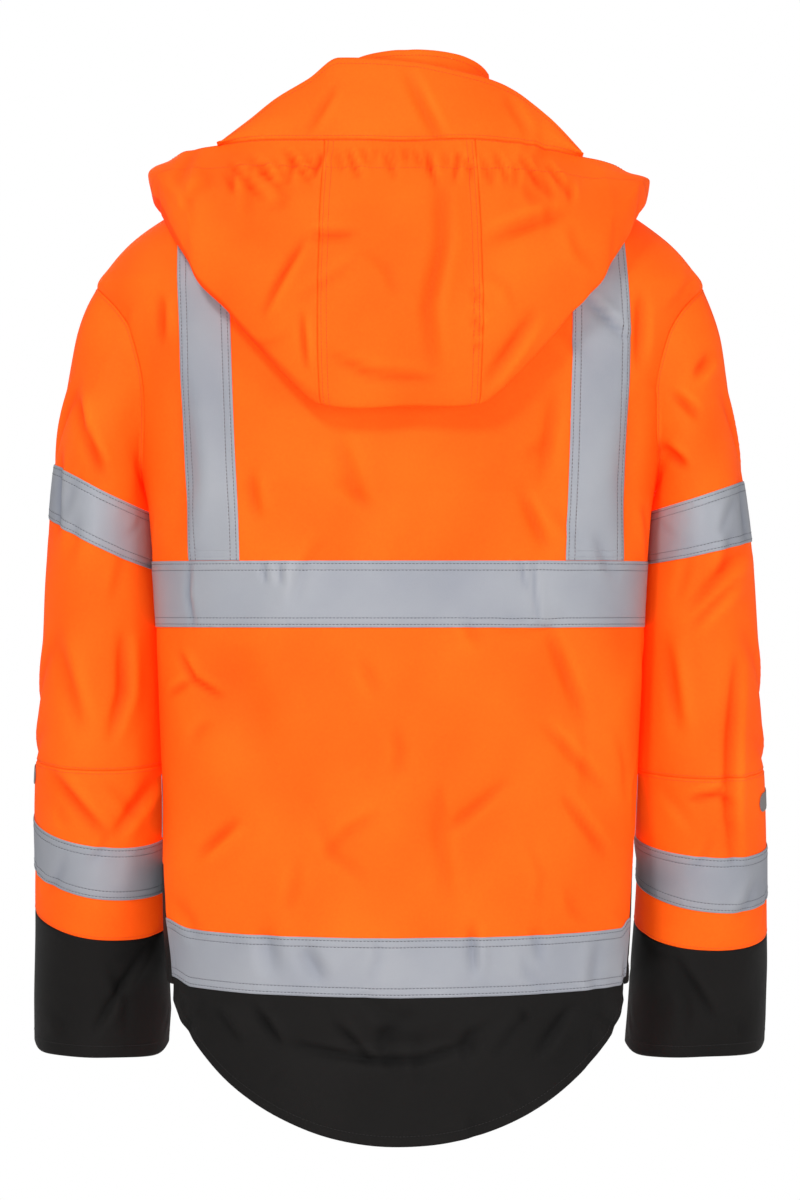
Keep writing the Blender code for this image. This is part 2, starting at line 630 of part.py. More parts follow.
RINGS = [0, 1, 2, 3, 4, 5, 7, 8, 9.5, 11, 12, 13, 15, 16, 17.5, 19]
UPPER_BAND = slice(RINGS.index(5), RINGS.index(7) + 1)
LOWER_BAND = slice(RINGS.index(13), RINGS.index(15) + 1)
ELBOW = RINGS.index(11)
CUFF = RINGS.index(16)


def armhole_ring(grids, side):
    """The armhole's edge, from the armpit up the back to the shoulder and down the front."""
    if side == "left":
        back = part_of(grids["back"], slice(ARMPIT_ROW + BACK_SHIFT, None), -1)
    else:
        back = part_of(grids["back"], slice(ARMPIT_ROW + BACK_SHIFT, None), 0)
    front = part_of(grids[side, -1], slice(ARMPIT_ROW, None), -1)
    return [np.concatenate([back[k], front[k][-2:0:-1]]) for k in (0, 1)]


def ring_angles(ring):
    """Angle of each armhole point: -90 at the armpit, 0 behind, 90 on top, 180 in front."""
    lengths = np.linalg.norm(np.roll(ring, -1, axis=0) - ring, axis=1)
    half = len(ring) // 2
    back = np.concatenate([[0], np.cumsum(lengths[:half])]) / lengths[:half].sum()
    front = np.concatenate([[0], np.cumsum(lengths[half:])]) / lengths[half:].sum()
    return np.concatenate([-90 + 180 * back[:-1], 90 + 180 * front[:-1]])


def sleeve_ellipse(form, ring, angle, sign):
    """Point of a plain ring of the sleeve."""
    high, along = np.sin(np.radians(angle)), np.cos(np.radians(angle))
    outer = np.array([form.read("outer_x", ring), form.read("outer_z", ring)])
    inner = np.array([form.read("inner_x", ring), form.read("inner_z", ring)])
    x, z = (outer + inner) / 2 + (outer - inner) / 2 * high
    depth = form.read("half_depth", ring) * along
    return np.array([sign * x, form.read("centre_y", ring) + depth, z - form.read("sag", ring) * depth])


def sleeve_grid(grids, side):
    form = SLEEVES[side]
    sign = 1 if side == "left" else -1
    ring, directions = armhole_ring(grids, side)
    angles = ring_angles(ring)
    rows = []
    for k in RINGS:
        share = form.read("share", k)
        row = []
        for point, angle in zip(ring, angles):
            plain = sleeve_ellipse(form, k, angle, sign)
            row.append(plain + share * (point - sleeve_ellipse(form, 0, angle, sign)))
        rows.append(row)
    rows = np.array(rows)
    rows[0] += (rows[1] - rows[0]) * GAP / np.linalg.norm(rows[1] - rows[0], axis=1, keepdims=True)
    normals = grid_normals(rows, first_row=directions, closed=True)
    if (normals[8][6:12] @ np.array([sign, 0, 0])).sum() < 0:
        normals[1:] = -normals[1:]
    return rows, normals


def build_sleeves(grids):
    for side in ("left", "right"):
        grid = sleeve_grid(grids, side)
        pieces = [
            ("sleeve_upper", slice(0, ELBOW + 1), "orange_cloth", ("top",)),
            ("sleeve_lower", slice(ELBOW, CUFF + 1), "orange_cloth", ("low", "top")),
            ("cuff", slice(CUFF, None), "black_cloth", ("low",)),
        ]
        for name, rings, finish, trims in pieces:
            points, normals = part_of(grid, rings)
            outer = trimmed(points, trims)
            inner = trimmed(offset(points, normals, -CLOTH), trims)
            add_wall(f"{side}_{name}", outer, inner, finish, closed=True)
        for name, rings in (("upper_band", UPPER_BAND), ("lower_band", LOWER_BAND)):
            add_tape(f"{side}_{name}", *part_of(grid, rings), closed=True, trims=())


# ---------------------------------------------------------------- hood
# Thrown back, the hood hangs as a pocket: from the neck seam its inner side lies down the back to the
# fold, then the outer side comes up again to the rim. Way 0 is the middle of the back, 1 the side tip
# over the shoulder, 1.6 the front end.
HOOD = Table("way neck_turn fold_turn fold_z rim_x rim_y rim_z swell fold_gap", [
    (0.00, 0.0, 0.0, -0.2130, 0.0000, 0.100, +0.0275, 0.036, 0.022),
    (0.12, 14.0, 8.2, -0.2135, 0.0360, 0.099, +0.0280, 0.036, 0.022),
    (0.24, 26.0, 16.2, -0.2110, 0.0700, 0.095, +0.0285, 0.034, 0.022),
    (0.36, 36.0, 23.2, -0.1880, 0.1030, 0.086, +0.0290, 0.032, 0.021),
    (0.50, 47.0, 30.6, -0.1500, 0.1360, 0.074, +0.0300, 0.030, 0.020),
    (0.65, 58.0, 36.5, -0.1140, 0.1720, 0.058, +0.0275, 0.024, 0.019),
    (0.80, 70.0, 47.0, -0.0740, 0.2000, 0.044, +0.0235, 0.016, 0.018),
    (0.92, 81.0, 66.0, -0.0430, 0.2210, 0.031, +0.0125, 0.010, 0.017),
    (1.00, 90.0, 90.0, -0.0330, 0.2330, 0.014, +0.0030, 0.005, 0.016),
    (1.15, 106.0, 116.0, -0.0350, 0.2120, -0.034, +0.0010, 0.006, 0.015),
    (1.30, 124.0, 134.0, -0.0340, 0.1560, -0.074, +0.0010, 0.007, 0.013),
    (1.45, 141.0, 147.0, -0.0340, 0.0980, -0.094, -0.0020, 0.006, 0.011),
    (1.60, 158.0, 160.0, -0.0400, 0.0450, -0.105, -0.0180, 0.003, 0.009),
])
HOOD_RIGHT_DROP = 0.013   # the right half's rim hangs lower
HOOD_RIGHT_PULL = 0.008   # and its tip is pulled in, with less of that drop left
HOOD_TIP_DROP = 0.55
HOOD_TIP_WAYS = (0.85, 1.05)
HOOD_DROP_WAYS = (0.2, 0.8)
HOOD_FOLD = (0.45, 0.5)   # how round the fold is, as shares of its gap: onward and outward
HOOD_SWELLS = {1 / 3: 1.0, 2 / 3: 0.85}    # share of the way up to the rim: share of the swell
HOOD_LIFTS = [0.0040, 0.0124, 0.0132, 0.0082]      # inner side over the cloth, neck to fold
HOOD_NECK_DROP = 0.008    # neck seam under the top of the panels
HOOD_CENTRE_WAY = 0.24    # the centre panel's seams
HOOD_VISOR_WAY = 0.65     # the visor's ends
HOOD_WAYS = [0.0, 0.08, 0.16, 0.24, 0.33, 0.42, 0.50, 0.58, 0.65, 0.74, 0.83, 0.92, 1.0, 1.14, 1.36, 1.6]
HOOD_STEPS = [0, 0.8, 1.6, 2.4, 3, 3.5, 4, 4.5, 5, 5.6, 6.2, 6.8, 7.4, 8]
VISOR_TOP = Table("x top_y top_z", [
    (-0.1765, 0.058, 0.0150), (-0.1400, 0.058, 0.0538), (-0.0950, 0.064, 0.0847),
    (-0.0620, 0.070, 0.0941), (-0.0050, 0.073, 0.1049), (+0.0572, 0.070, 0.1080),
    (+0.0860, 0.064, 0.0890), (+0.1180, 0.058, 0.0706), (+0.1440, 0.056, 0.0500),
    (+0.1725, 0.058, 0.0275),
])
VISOR_ROWS = 4
VISOR_LEAST = 0.008       # height that is left at the visor's ends
VISOR_BULGE = 0.006


def path_point(points, at):
    """Smooth curve through the points; at counts in points."""
    k = int(min(max(np.floor(at), 0), len(points) - 2))
    t = at - k
    a = points[max(k - 1, 0)]
    b, c = points[k], points[k + 1]
    d = points[min(k + 2, len(points) - 1)]
    return 0.5 * (2 * b + (c - a) * t + (2 * a - 5 * b + 4 * c - d) * t ** 2
                  + (3 * b - a - 3 * c + d) * t ** 3)


def hood_profile(way):
    """Key points of the hood at one place round the neck, from the neck seam to the rim."""
    sign = -1 if way < 0 else 1
    def value(name):
        return HOOD.read(name, abs(way))
    neck_turn, fold_turn = value("neck_turn"), value("fold_turn")
    face = 1 if neck_turn <= 90 else -1
    neck_reach = NECK_X * np.sin(np.radians(neck_turn))
    neck_height = top_height(neck_reach, face) - HOOD_NECK_DROP
    keys = []
    for k in range(4):
        share = k / 3
        turn = sign * lerp(neck_turn, fold_turn, share)
        height = lerp(neck_height, value("fold_z"), share)
        keys.append(body_point(turn, height) + body_normal(turn, height) * HOOD_LIFTS[k])
    tip, drop = 0.0, 0.0
    if sign < 0:
        tip = smooth(*HOOD_TIP_WAYS, abs(way))
        drop = HOOD_RIGHT_DROP * smooth(*HOOD_DROP_WAYS, abs(way)) * lerp(1.0, HOOD_TIP_DROP, tip)
    rim = np.array([sign * (value("rim_x") - HOOD_RIGHT_PULL * tip), value("rim_y"), value("rim_z") - drop])
    out = body_normal(sign * fold_turn, value("fold_z"))
    along = unit(keys[3] - keys[2])
    gap = value("fold_gap")
    keys.append(keys[3] + along * gap * HOOD_FOLD[0] + out * gap * HOOD_FOLD[1])
    top = keys[3] + out * gap
    keys.append(top)
    span = rim - top
    out_mid = unit(out + np.array([0.0, 0.0, 0.15]))
    for share, part in HOOD_SWELLS.items():
        keys.append(top + span * share + out_mid * value("swell") * part)
    keys.append(rim)
    return keys


def hood_grid():
    """Columns of the hood from right to left, as rows from the neck seam to the rim."""
    ways = sorted({-w for w in HOOD_WAYS} | set(HOOD_WAYS))
    profiles = [hood_profile(way) for way in ways]
    return ways, np.array([[path_point(keys, step) for keys in profiles] for step in HOOD_STEPS])


def build_hood():
    ways, points = hood_grid()
    normals = grid_normals(points)
    middle = len(ways) // 2
    if normals[-3, middle][1] < 0:
        normals = -normals
    pieces = {
        "hood_right_side": (-1.6, -HOOD_CENTRE_WAY, ("last",)),
        "hood_centre": (-HOOD_CENTRE_WAY, HOOD_CENTRE_WAY, ("first", "last")),
        "hood_left_side": (HOOD_CENTRE_WAY, 1.6, ("first",)),
    }
    for name, (first, last, trims) in pieces.items():
        columns = [j for j, way in enumerate(ways) if first - 1e-6 <= way <= last + 1e-6]
        columns = slice(columns[0], columns[-1] + 1)
        add_panel(name, points[:, columns], normals[:, columns], "orange_cloth", trims)
    build_visor(ways, points, normals[-1])


def build_visor(ways, hood, normals):
    """The stiff visor stands on the rim and leans against the collar."""
    columns = [j for j, way in enumerate(ways) if abs(way) <= HOOD_VISOR_WAY + 1e-6]
    base, base_normals = hood[-1][columns], normals[columns]
    onward = base - hood[-2][columns]
    onward /= np.linalg.norm(onward, axis=1, keepdims=True)
    rows = []
    for i in range(VISOR_ROWS):
        share = i / (VISOR_ROWS - 1)
        row = []
        for point in base:
            top = np.array([point[0], VISOR_TOP.read("top_y", point[0]), VISOR_TOP.read("top_z", point[0])])
            top[2] = max(top[2], point[2] + VISOR_LEAST)
            row.append(lerp(point, top, share) + np.array([0, VISOR_BULGE * np.sin(np.pi * share), 0]))
        rows.append(row)
    rows = np.array(rows) + onward * GAP
    directions = grid_normals(rows, first_row=base_normals)
    add_wall("hood_visor", rows, offset(rows, directions, -CLOTH), "orange_cloth")


def build_jacket():
    for old in list(bpy.data.objects):
        bpy.data.objects.remove(old, do_unlink=True)
    grids = body_grids()
    build_back(grids)
    build_fronts(grids)
    build_flap(grids)
    build_collar(grids)
    build_sleeves(grids)
    build_hood()


build_jacket()
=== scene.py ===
"""Hooded hi-vis work jacket: the cloth, tapes, sewing and light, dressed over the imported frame.

Metres, +Z up, front towards -Y, wearer's left towards +X. The sections follow the order in which the
jacket is put together: back, tail, fronts, flap, collar, tapes, sleeves, tabs, hood, then the studio.
"""

import bpy
import numpy as np
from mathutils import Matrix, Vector


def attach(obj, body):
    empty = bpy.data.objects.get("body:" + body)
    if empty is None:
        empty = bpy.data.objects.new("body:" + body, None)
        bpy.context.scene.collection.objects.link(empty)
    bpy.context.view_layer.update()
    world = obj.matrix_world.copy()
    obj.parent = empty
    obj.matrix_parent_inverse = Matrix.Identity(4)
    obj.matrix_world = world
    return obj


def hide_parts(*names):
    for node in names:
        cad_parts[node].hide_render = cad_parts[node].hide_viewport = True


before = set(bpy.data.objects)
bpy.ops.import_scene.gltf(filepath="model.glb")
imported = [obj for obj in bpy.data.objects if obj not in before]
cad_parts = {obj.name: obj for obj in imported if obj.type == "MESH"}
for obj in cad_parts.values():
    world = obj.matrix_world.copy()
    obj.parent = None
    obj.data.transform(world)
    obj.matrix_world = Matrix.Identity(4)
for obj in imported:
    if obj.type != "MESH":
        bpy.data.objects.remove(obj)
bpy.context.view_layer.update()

# ================================================================ back panel
# The back is cut in one from the collar to the hem seam, in coated orange oxford cloth. It is joined
# to the fronts over the shoulders and down the sides, and to the black tail by a seam that the
# hem tape covers.
CLOTH = 0.0020
GAP = 0.0003
SHOULDER_X = 0.288
SHOULDER_Z = -0.102
ARMPIT_Z = -0.300
NECK_X = 0.080
NECK_SIDE_Z = 0.035
NECK_BACK_Z = 0.018
NECK_FRONT_Z = -0.025
# Tapes, seams and hems run along lines of the cloth's grid, so their places are known from the start.
WAIST_TOP = -0.3635
WAIST_LOW = WAIST_TOP - 0.062
FRONT_BAND_TOP = -0.565
FRONT_BAND_LOW = -0.625
FRONT_BLACK_Z = -0.650
FRONT_HEM_Z = -0.762
FRONT_EDGE_X = 0.0004
FLAP_REACH = 0.027
BAND_TOP_Z = -0.699
BAND_LOW_Z = -0.7545
BAND_BEND_Z = (-0.60, -0.697)
SEAM_Z = -0.7465
BRACE_INNER_TOP = 0.159
BRACE_OUTER_TOP = 0.208
TAIL_DROP = 0.140
TAIL_SIDE_Z = -0.767
TAIL_HALF_WIDTH = 0.216
TAIL_ROUND = 2.05
TAIL_FULL = 0.66
# Lengths that the grid's cells are shared out over: brace to side, armpit to shoulder, and the tail.
SIDE_RUN = 0.125
ARMHOLE_RUN = 0.24
TAIL_RUN = 0.13


class Table:
    """Rows with named columns, read as smooth curves of the first column."""

    def __init__(self, names, rows):
        self.names = names.split()
        self.values = np.array(sorted(rows), dtype=float)

    def read(self, name, at):
        keys = self.values[:, 0]
        column = self.values[:, self.names.index(name)]
        steps = np.diff(keys)
        slopes = np.diff(column) / steps
        near = 2 * steps[1:] + steps[:-1]
        far = steps[1:] + 2 * steps[:-1]
        same = slopes[:-1] * slopes[1:] > 0
        before, after = np.where(same, slopes[:-1], 1.0), np.where(same, slopes[1:], 1.0)
        middle = np.where(same, (near + far) / (near / before + far / after), 0.0)
        tangents = np.concatenate([slopes[:1], middle, slopes[-1:]])
        at = np.clip(at, keys[0], keys[-1])
        k = np.clip(np.searchsorted(keys, at) - 1, 0, len(keys) - 2)
        t = (at - keys[k]) / steps[k]
        rise = (1 - t) ** 2 * (1 + 2 * t) * column[k] + t * t * (3 - 2 * t) * column[k + 1]
        return rise + t * (1 - t) * ((1 - t) * tangents[k] - t * tangents[k + 1]) * steps[k]


BODY = Table("height half_width back_y front_y side_y roundness", [
    (+0.035, 0.080, 0.062, -0.062, 0.000, 2.00),
    (+0.018, 0.114, 0.078, -0.075, 0.001, 2.00),
    (+0.000, 0.152, 0.092, -0.087, 0.002, 2.00),
    (-0.035, 0.220, 0.108, -0.104, 0.004, 2.05),
    (-0.062, 0.257, 0.115, -0.112, 0.005, 2.10),
    (-0.085, 0.277, 0.119, -0.118, 0.005, 2.15),
    (-0.102, 0.288, 0.121, -0.121, 0.005, 2.20),
    (-0.130, 0.277, 0.124, -0.125, 0.004, 2.25),
    (-0.165, 0.266, 0.127, -0.128, 0.003, 2.30),
    (-0.210, 0.256, 0.130, -0.131, 0.002, 2.40),
    (-0.300, 0.247, 0.131, -0.132, 0.000, 2.50),
    (-0.395, 0.240, 0.129, -0.130, 0.000, 2.50),
    (-0.500, 0.236, 0.127, -0.129, 0.002, 2.50),
    (-0.600, 0.231, 0.124, -0.127, 0.005, 2.45),
    (-0.700, 0.226, 0.120, -0.125, 0.008, 2.40),
    (-0.770, 0.221, 0.116, -0.123, 0.010, 2.40),
    (-0.910, 0.218, 0.108, -0.120, 0.012, 2.40),
])
# Turns are degrees round the body: 0 is the middle of the back, 90 the left side, 180 the front.
SIDE_SEAM = Table("height turn", [
    (-0.300, 90.0), (-0.400, 90.0), (-0.480, 88.5), (-0.560, 85.0),
    (-0.650, 79.5), (-0.710, 76.0), (-0.740, 75.0), (-0.800, 75.0),
])
ARMHOLE = Table("height back_turn front_turn", [
    (-0.300, 90.0, 90.0), (-0.283, 80.0, 99.0), (-0.260, 75.0, 106.0), (-0.225, 71.0, 111.0),
    (-0.180, 68.5, 113.0), (-0.150, 69.0, 111.0), (-0.125, 73.5, 106.0), (-0.108, 81.0, 98.0),
    (-0.102, 90.0, 90.0),
])
BRACE = Table("height left_inner left_outer right_inner right_outer", [
    (-0.430, 0.1475, 0.1960, 0.1520, 0.2080), (-0.3635, 0.1480, 0.1970, 0.1530, 0.2090),
    (-0.250, 0.1530, 0.2030, 0.1570, 0.2120), (-0.140, 0.1570, 0.2055, 0.1595, 0.2145),
    (-0.060, 0.1590, 0.2080, 0.1590, 0.2110), (+0.035, 0.1590, 0.2080, 0.1590, 0.2080),
])
HEM_BAND = Table("reach top low", [
    (0.000, -0.7120, -0.7680), (0.100, -0.7105, -0.7655), (0.160, -0.7070, -0.7615),
    (0.216, -0.6990, -0.7545),
])
# The broad folds that the body form has, on the back (+1) and the front (-1).
BODY_FOLDS = [
    # face, x0,     z0,     x1,     z1,   width,  depth
    (+1, -0.146, -0.215, -0.134, -0.285, 0.016, -0.0050),
    (+1, -0.114, -0.305, -0.133, -0.350, 0.012, -0.0040),
    (+1, +0.058, -0.250, +0.038, -0.310, 0.020, -0.0035),
    (+1, +0.139, -0.285, +0.133, -0.320, 0.015, -0.0035),
    (+1, -0.140, -0.430, -0.168, -0.510, 0.016, -0.0045),
    (+1, -0.138, -0.520, -0.190, -0.575, 0.017, -0.0045),
    (+1, +0.152, -0.610, +0.190, -0.640, 0.018, -0.0050),
    (+1, -0.045, -0.610, -0.030, -0.690, 0.020, -0.0035),
    (+1, -0.100, -0.575, -0.045, -0.612, 0.015, -0.0030),
    (+1, +0.090, -0.815, -0.060, -0.812, 0.013, -0.0045),
    (-1, +0.120, -0.240, +0.080, -0.330, 0.018, -0.0045),
    (-1, -0.125, -0.230, -0.085, -0.320, 0.018, -0.0045),
    (-1, +0.150, -0.470, +0.110, -0.560, 0.018, -0.0040),
    (-1, -0.145, -0.455, -0.115, -0.540, 0.018, -0.0040),
]
ARM_DENT = Table("height left right", [
    (-0.800, 0.000, 0.003), (-0.720, 0.000, 0.011), (-0.660, 0.003, 0.014), (-0.580, 0.012, 0.013),
    (-0.320, 0.012, 0.012), (-0.270, 0.000, 0.000),
])
ARM_DENT_Y = -0.020
ARM_DENT_REACH = 0.056


def smooth(low, high, value):
    t = np.clip((value - low) / (high - low), 0.0, 1.0)
    return t * t * (3 - 2 * t)


def lerp(a, b, t):
    return a + (b - a) * t


def unit(vectors):
    return vectors / np.maximum(np.linalg.norm(vectors, axis=-1, keepdims=True), 1e-12)


def body_point(turn, height):
    """Points of the body's outer skin."""
    x = BODY.read("half_width", height) * np.sin(np.radians(turn))
    face = np.where(np.abs(turn) <= 90, 1.0, -1.0)
    power = BODY.read("roundness", height)
    side = BODY.read("side_y", height)
    crown = np.where(face > 0, BODY.read("back_y", height), BODY.read("front_y", height))
    share = np.minimum(np.abs(np.sin(np.radians(turn))), 1.0)
    y = side + (crown - side) * (1 - share ** power) ** (1 / power)
    press = np.where(x > 0, ARM_DENT.read("left", height), ARM_DENT.read("right", height))
    near_arm = np.exp(-((y - ARM_DENT_Y) / ARM_DENT_REACH) ** 2)
    x = x - np.sign(x) * press * near_arm * smooth(0.15, 0.20, np.abs(x))
    push = np.zeros_like(x)
    for fold_face, x0, z0, x1, z1, width, depth in BODY_FOLDS:
        length = (x1 - x0) ** 2 + (z1 - z0) ** 2
        t = np.clip(((x - x0) * (x1 - x0) + (height - z0) * (z1 - z0)) / length, 0, 1)
        off = np.hypot(x - lerp(x0, x1, t), height - lerp(z0, z1, t))
        push += np.where(face == fold_face, depth * np.exp(-(off / width) ** 2), 0.0)
    y = y + face * push * smooth(0.0, 0.05, np.abs(y))
    return np.stack([x, y, height + 0.0 * x], axis=-1)


def body_normal(turn, height):
    sideways = body_point(turn + 1.5, height) - body_point(turn - 1.5, height)
    up = body_point(turn, height + 0.004) - body_point(turn, height - 0.004)
    normal = unit(np.cross(sideways, up))
    point = body_point(turn, height)
    outward = point * [1.0, 1.0, 0.0] + [0.0, 0.0, 0.08]
    return normal * np.where((normal * outward).sum(-1, keepdims=True) < 0, -1.0, 1.0)


def turn_at(height, reach, face):
    share = np.minimum(np.abs(reach) / BODY.read("half_width", height), 1.0)
    angle = np.degrees(np.arcsin(share))
    return angle if face > 0 else 180 - angle


def spaced(keys, cell, near=(), edge=0.0016):
    """Numbers from the first key to the last, no more than a cell apart, with close ones at seams."""
    stops = []
    for a, b in zip(keys[:-1], keys[1:]):
        count = max(int(np.ceil(abs(b - a) / cell)), 1)
        stops += list(np.linspace(a, b, count, endpoint=False))
    stops.append(keys[-1])
    for key in near:
        stops += [key - edge, key + edge]
    low, high = min(keys[0], keys[-1]), max(keys[0], keys[-1])
    stops = sorted(s for s in stops if low - 1e-9 <= s <= high + 1e-9)
    kept = [stops[0]]
    for stop in stops[1:]:
        if stop - kept[-1] > 0.3 * edge:
            kept.append(stop)
        elif any(abs(stop - key) < 1e-9 for key in keys):
            kept[-1] = stop
    return np.array(kept)


def top_height(reach, face):
    """Height of a panel's top edge: the neckline, then the shoulder seam."""
    heights = np.linspace(SHOULDER_Z, NECK_SIDE_Z, 4000)
    ridge = np.interp(-reach, -BODY.read("half_width", heights), heights)
    share = np.minimum(reach / NECK_X, 1.0)
    if face > 0:
        neck = lerp(NECK_BACK_Z, NECK_SIDE_Z, share ** 2)
    else:
        neck = lerp(NECK_FRONT_Z, NECK_SIDE_Z, share ** 2.2)
    return np.where(reach >= NECK_X, ridge, neck)


def run_of(line):
    """Metres from a line's start to each of its points."""
    return np.concatenate([[0], np.cumsum(np.linalg.norm(np.diff(line, axis=0), axis=1))])


def along_run(marks, run, values):
    """What a line's points hold, read at marks in metres from its start."""
    return np.stack([np.interp(marks, run, values[:, k]) for k in range(3)], axis=-1)


class Cloth:
    """A grid of points on a piece of cloth, with the directions out of it and the painted shade of its
    creases.
    """

    def __init__(self, points, normals, crease_shade=None):
        self.points, self.normals = points, normals
        self.crease_shade = np.zeros(points.shape[:-1]) if crease_shade is None else crease_shade

    def part(self, rows=slice(None), columns=slice(None)):
        return Cloth(self.points[rows, columns], self.normals[rows, columns], self.crease_shade[rows, columns])

    def lifted(self, distance):
        return Cloth(self.points + self.normals * distance, self.normals, self.crease_shade)

    def renewed(self, closed=False):
        """The same points with directions worked out again."""
        normals = across(self.points, closed)
        flip = np.sign((normals * self.normals).sum(-1, keepdims=True).mean())
        return Cloth(self.points, normals * flip, self.crease_shade)

    def rail(self, side, distance, ends=0.0, closed=False):
        """Points and directions along a line at a distance from one side, short of both ends.

        Round a tube the line is closed.
        """
        points, normals = self.points, self.normals
        if side in ("first", "last"):
            points, normals = points.swapaxes(0, 1), normals.swapaxes(0, 1)
        if side in ("last", "top"):
            points, normals = points[::-1], normals[::-1]
        steps = np.linalg.norm(np.diff(points, axis=0), axis=-1)
        lengths = np.concatenate([np.zeros((1, steps.shape[1])), np.cumsum(steps, axis=0)])
        line = []
        for j in range(points.shape[1]):
            line.append([np.interp(distance, lengths[:, j], values[:, j, k])
                         for values in (points, normals) for k in range(3)])
        line = np.array(line + line[:1] if closed else line)
        run = run_of(line[:, :3])
        keep = (run >= ends) & (run <= run[-1] - ends)
        return line[keep, :3], unit(line[keep, 3:])


def across(points, closed=False):
    """Directions out of a grid of points."""
    if closed:
        sideways = np.roll(points, -1, axis=1) - np.roll(points, 1, axis=1)
    else:
        sideways = np.gradient(points, axis=1)
    return unit(np.cross(sideways, np.gradient(points, axis=0)))


def body_half(side, face, cell):
    """Half of the back or the front: turns and heights, hem to shoulder, centre to edge."""
    brace = (BRACE_INNER_TOP, BRACE_OUTER_TOP)
    if face > 0:
        neck = spaced([0.0, NECK_X, *brace], cell, brace)
    else:
        neck = spaced([FRONT_EDGE_X, NECK_X, *brace], cell, (*brace, FLAP_REACH))
        neck = np.array(sorted(set(neck) | {FLAP_REACH}))
    edge_share = spaced([0.0, 1.0], cell / SIDE_RUN, (1.0,), 0.014)[1:]
    tops = np.concatenate([neck, lerp(BRACE_OUTER_TOP, SHOULDER_X, np.sin(np.pi / 2 * edge_share))])
    share = np.concatenate([np.zeros(len(neck)), edge_share])
    if face > 0:
        keys = [BAND_LOW_Z, SEAM_Z, BAND_TOP_Z, WAIST_LOW, WAIST_TOP, ARMPIT_Z]
    else:
        keys = [FRONT_HEM_Z, FRONT_BLACK_Z, FRONT_BAND_LOW, FRONT_BAND_TOP, WAIST_LOW, WAIST_TOP, ARMPIT_Z]
    low = spaced(keys, cell, keys[:-1])[:-1]
    rise = np.linspace(0, 1, int(ARMHOLE_RUN / cell))
    heights = np.repeat(low[:, None], len(tops), axis=1)
    if face > 0:
        bend = smooth(*BAND_BEND_Z, heights)
        reach = tops * TAIL_HALF_WIDTH / SHOULDER_X
        at_top = HEM_BAND.read("top", reach) - HEM_BAND.read("top", TAIL_HALF_WIDTH)
        at_low = HEM_BAND.read("low", reach) - HEM_BAND.read("low", TAIL_HALF_WIDTH)
        span = np.clip((heights - BAND_LOW_Z) / (BAND_TOP_Z - BAND_LOW_Z), 0, 1)
        heights = heights + bend * lerp(at_low, at_top, span)
    upper = lerp(ARMPIT_Z, top_height(tops, face)[None, :], np.sin(np.pi / 2 * rise)[:, None])
    edge_turn = np.concatenate([
        SIDE_SEAM.read("turn", low),
        ARMHOLE.read("back_turn" if face > 0 else "front_turn", upper[:, -1]),
    ])[:, None]
    heights = np.concatenate([heights, upper])
    mix = np.concatenate([np.zeros(len(low)), smooth(0.3, 1.0, rise)])[:, None]
    inner = lerp(BRACE.read(side + "_inner", heights), BRACE_INNER_TOP, mix)
    outer = lerp(BRACE.read(side + "_outer", heights), BRACE_OUTER_TOP, mix)
    within = np.clip((tops - BRACE_INNER_TOP) / (BRACE_OUTER_TOP - BRACE_INNER_TOP), 0, 1)
    reach = np.where(tops <= BRACE_INNER_TOP, inner * tops / BRACE_INNER_TOP, lerp(inner, outer, within))
    edge_x = BODY.read("half_width", heights[:, -1:]) * np.sin(np.radians(edge_turn))
    beyond = lerp(outer, edge_x, np.sin(np.pi / 2 * share))
    by_turn = lerp(turn_at(heights, outer, face), edge_turn, share)
    by_reach = turn_at(heights, beyond, face)
    turns = np.where(share > 0, lerp(by_turn, by_reach, mix), turn_at(heights, reach, face))
    if face > 0:
        hem_reach = BODY.read("half_width", heights[0]) * np.sin(np.radians(turns[0]))
        hem_share = np.minimum(hem_reach / TAIL_HALF_WIDTH, 1)
        hem = TAIL_SIDE_Z - TAIL_DROP * (1 - hem_share ** TAIL_ROUND) ** TAIL_FULL
        down = spaced([0.0, 1.0], cell / TAIL_RUN, (0.0,), 0.015)[:-1, None]
        heights = np.concatenate([lerp(hem[None, :], heights[:1], down), heights])
        turns = np.concatenate([np.repeat(turns[:1], len(down), axis=0), turns])
        low = np.concatenate([np.full(len(down), -1.0), low])
    return tops, low, turns, heights


# The two axes that a view of a crease is drawn in, and where the view looks from
VIEWS = {"back": (0, 2, (0, 1, 0)), "front": (0, 2, (0, -1, 0)), "left": (1, 2, (1, 0, 0)),
         "right": (1, 2, (-1, 0, 0))}
# Painted crease shade counts a crease's depth over its width in units of this steepness.
FULL_STEEPNESS = 1.08
CREASE_END = 0.25
BANK_OFF = 1.7
BANK_WIDTH = 1.2


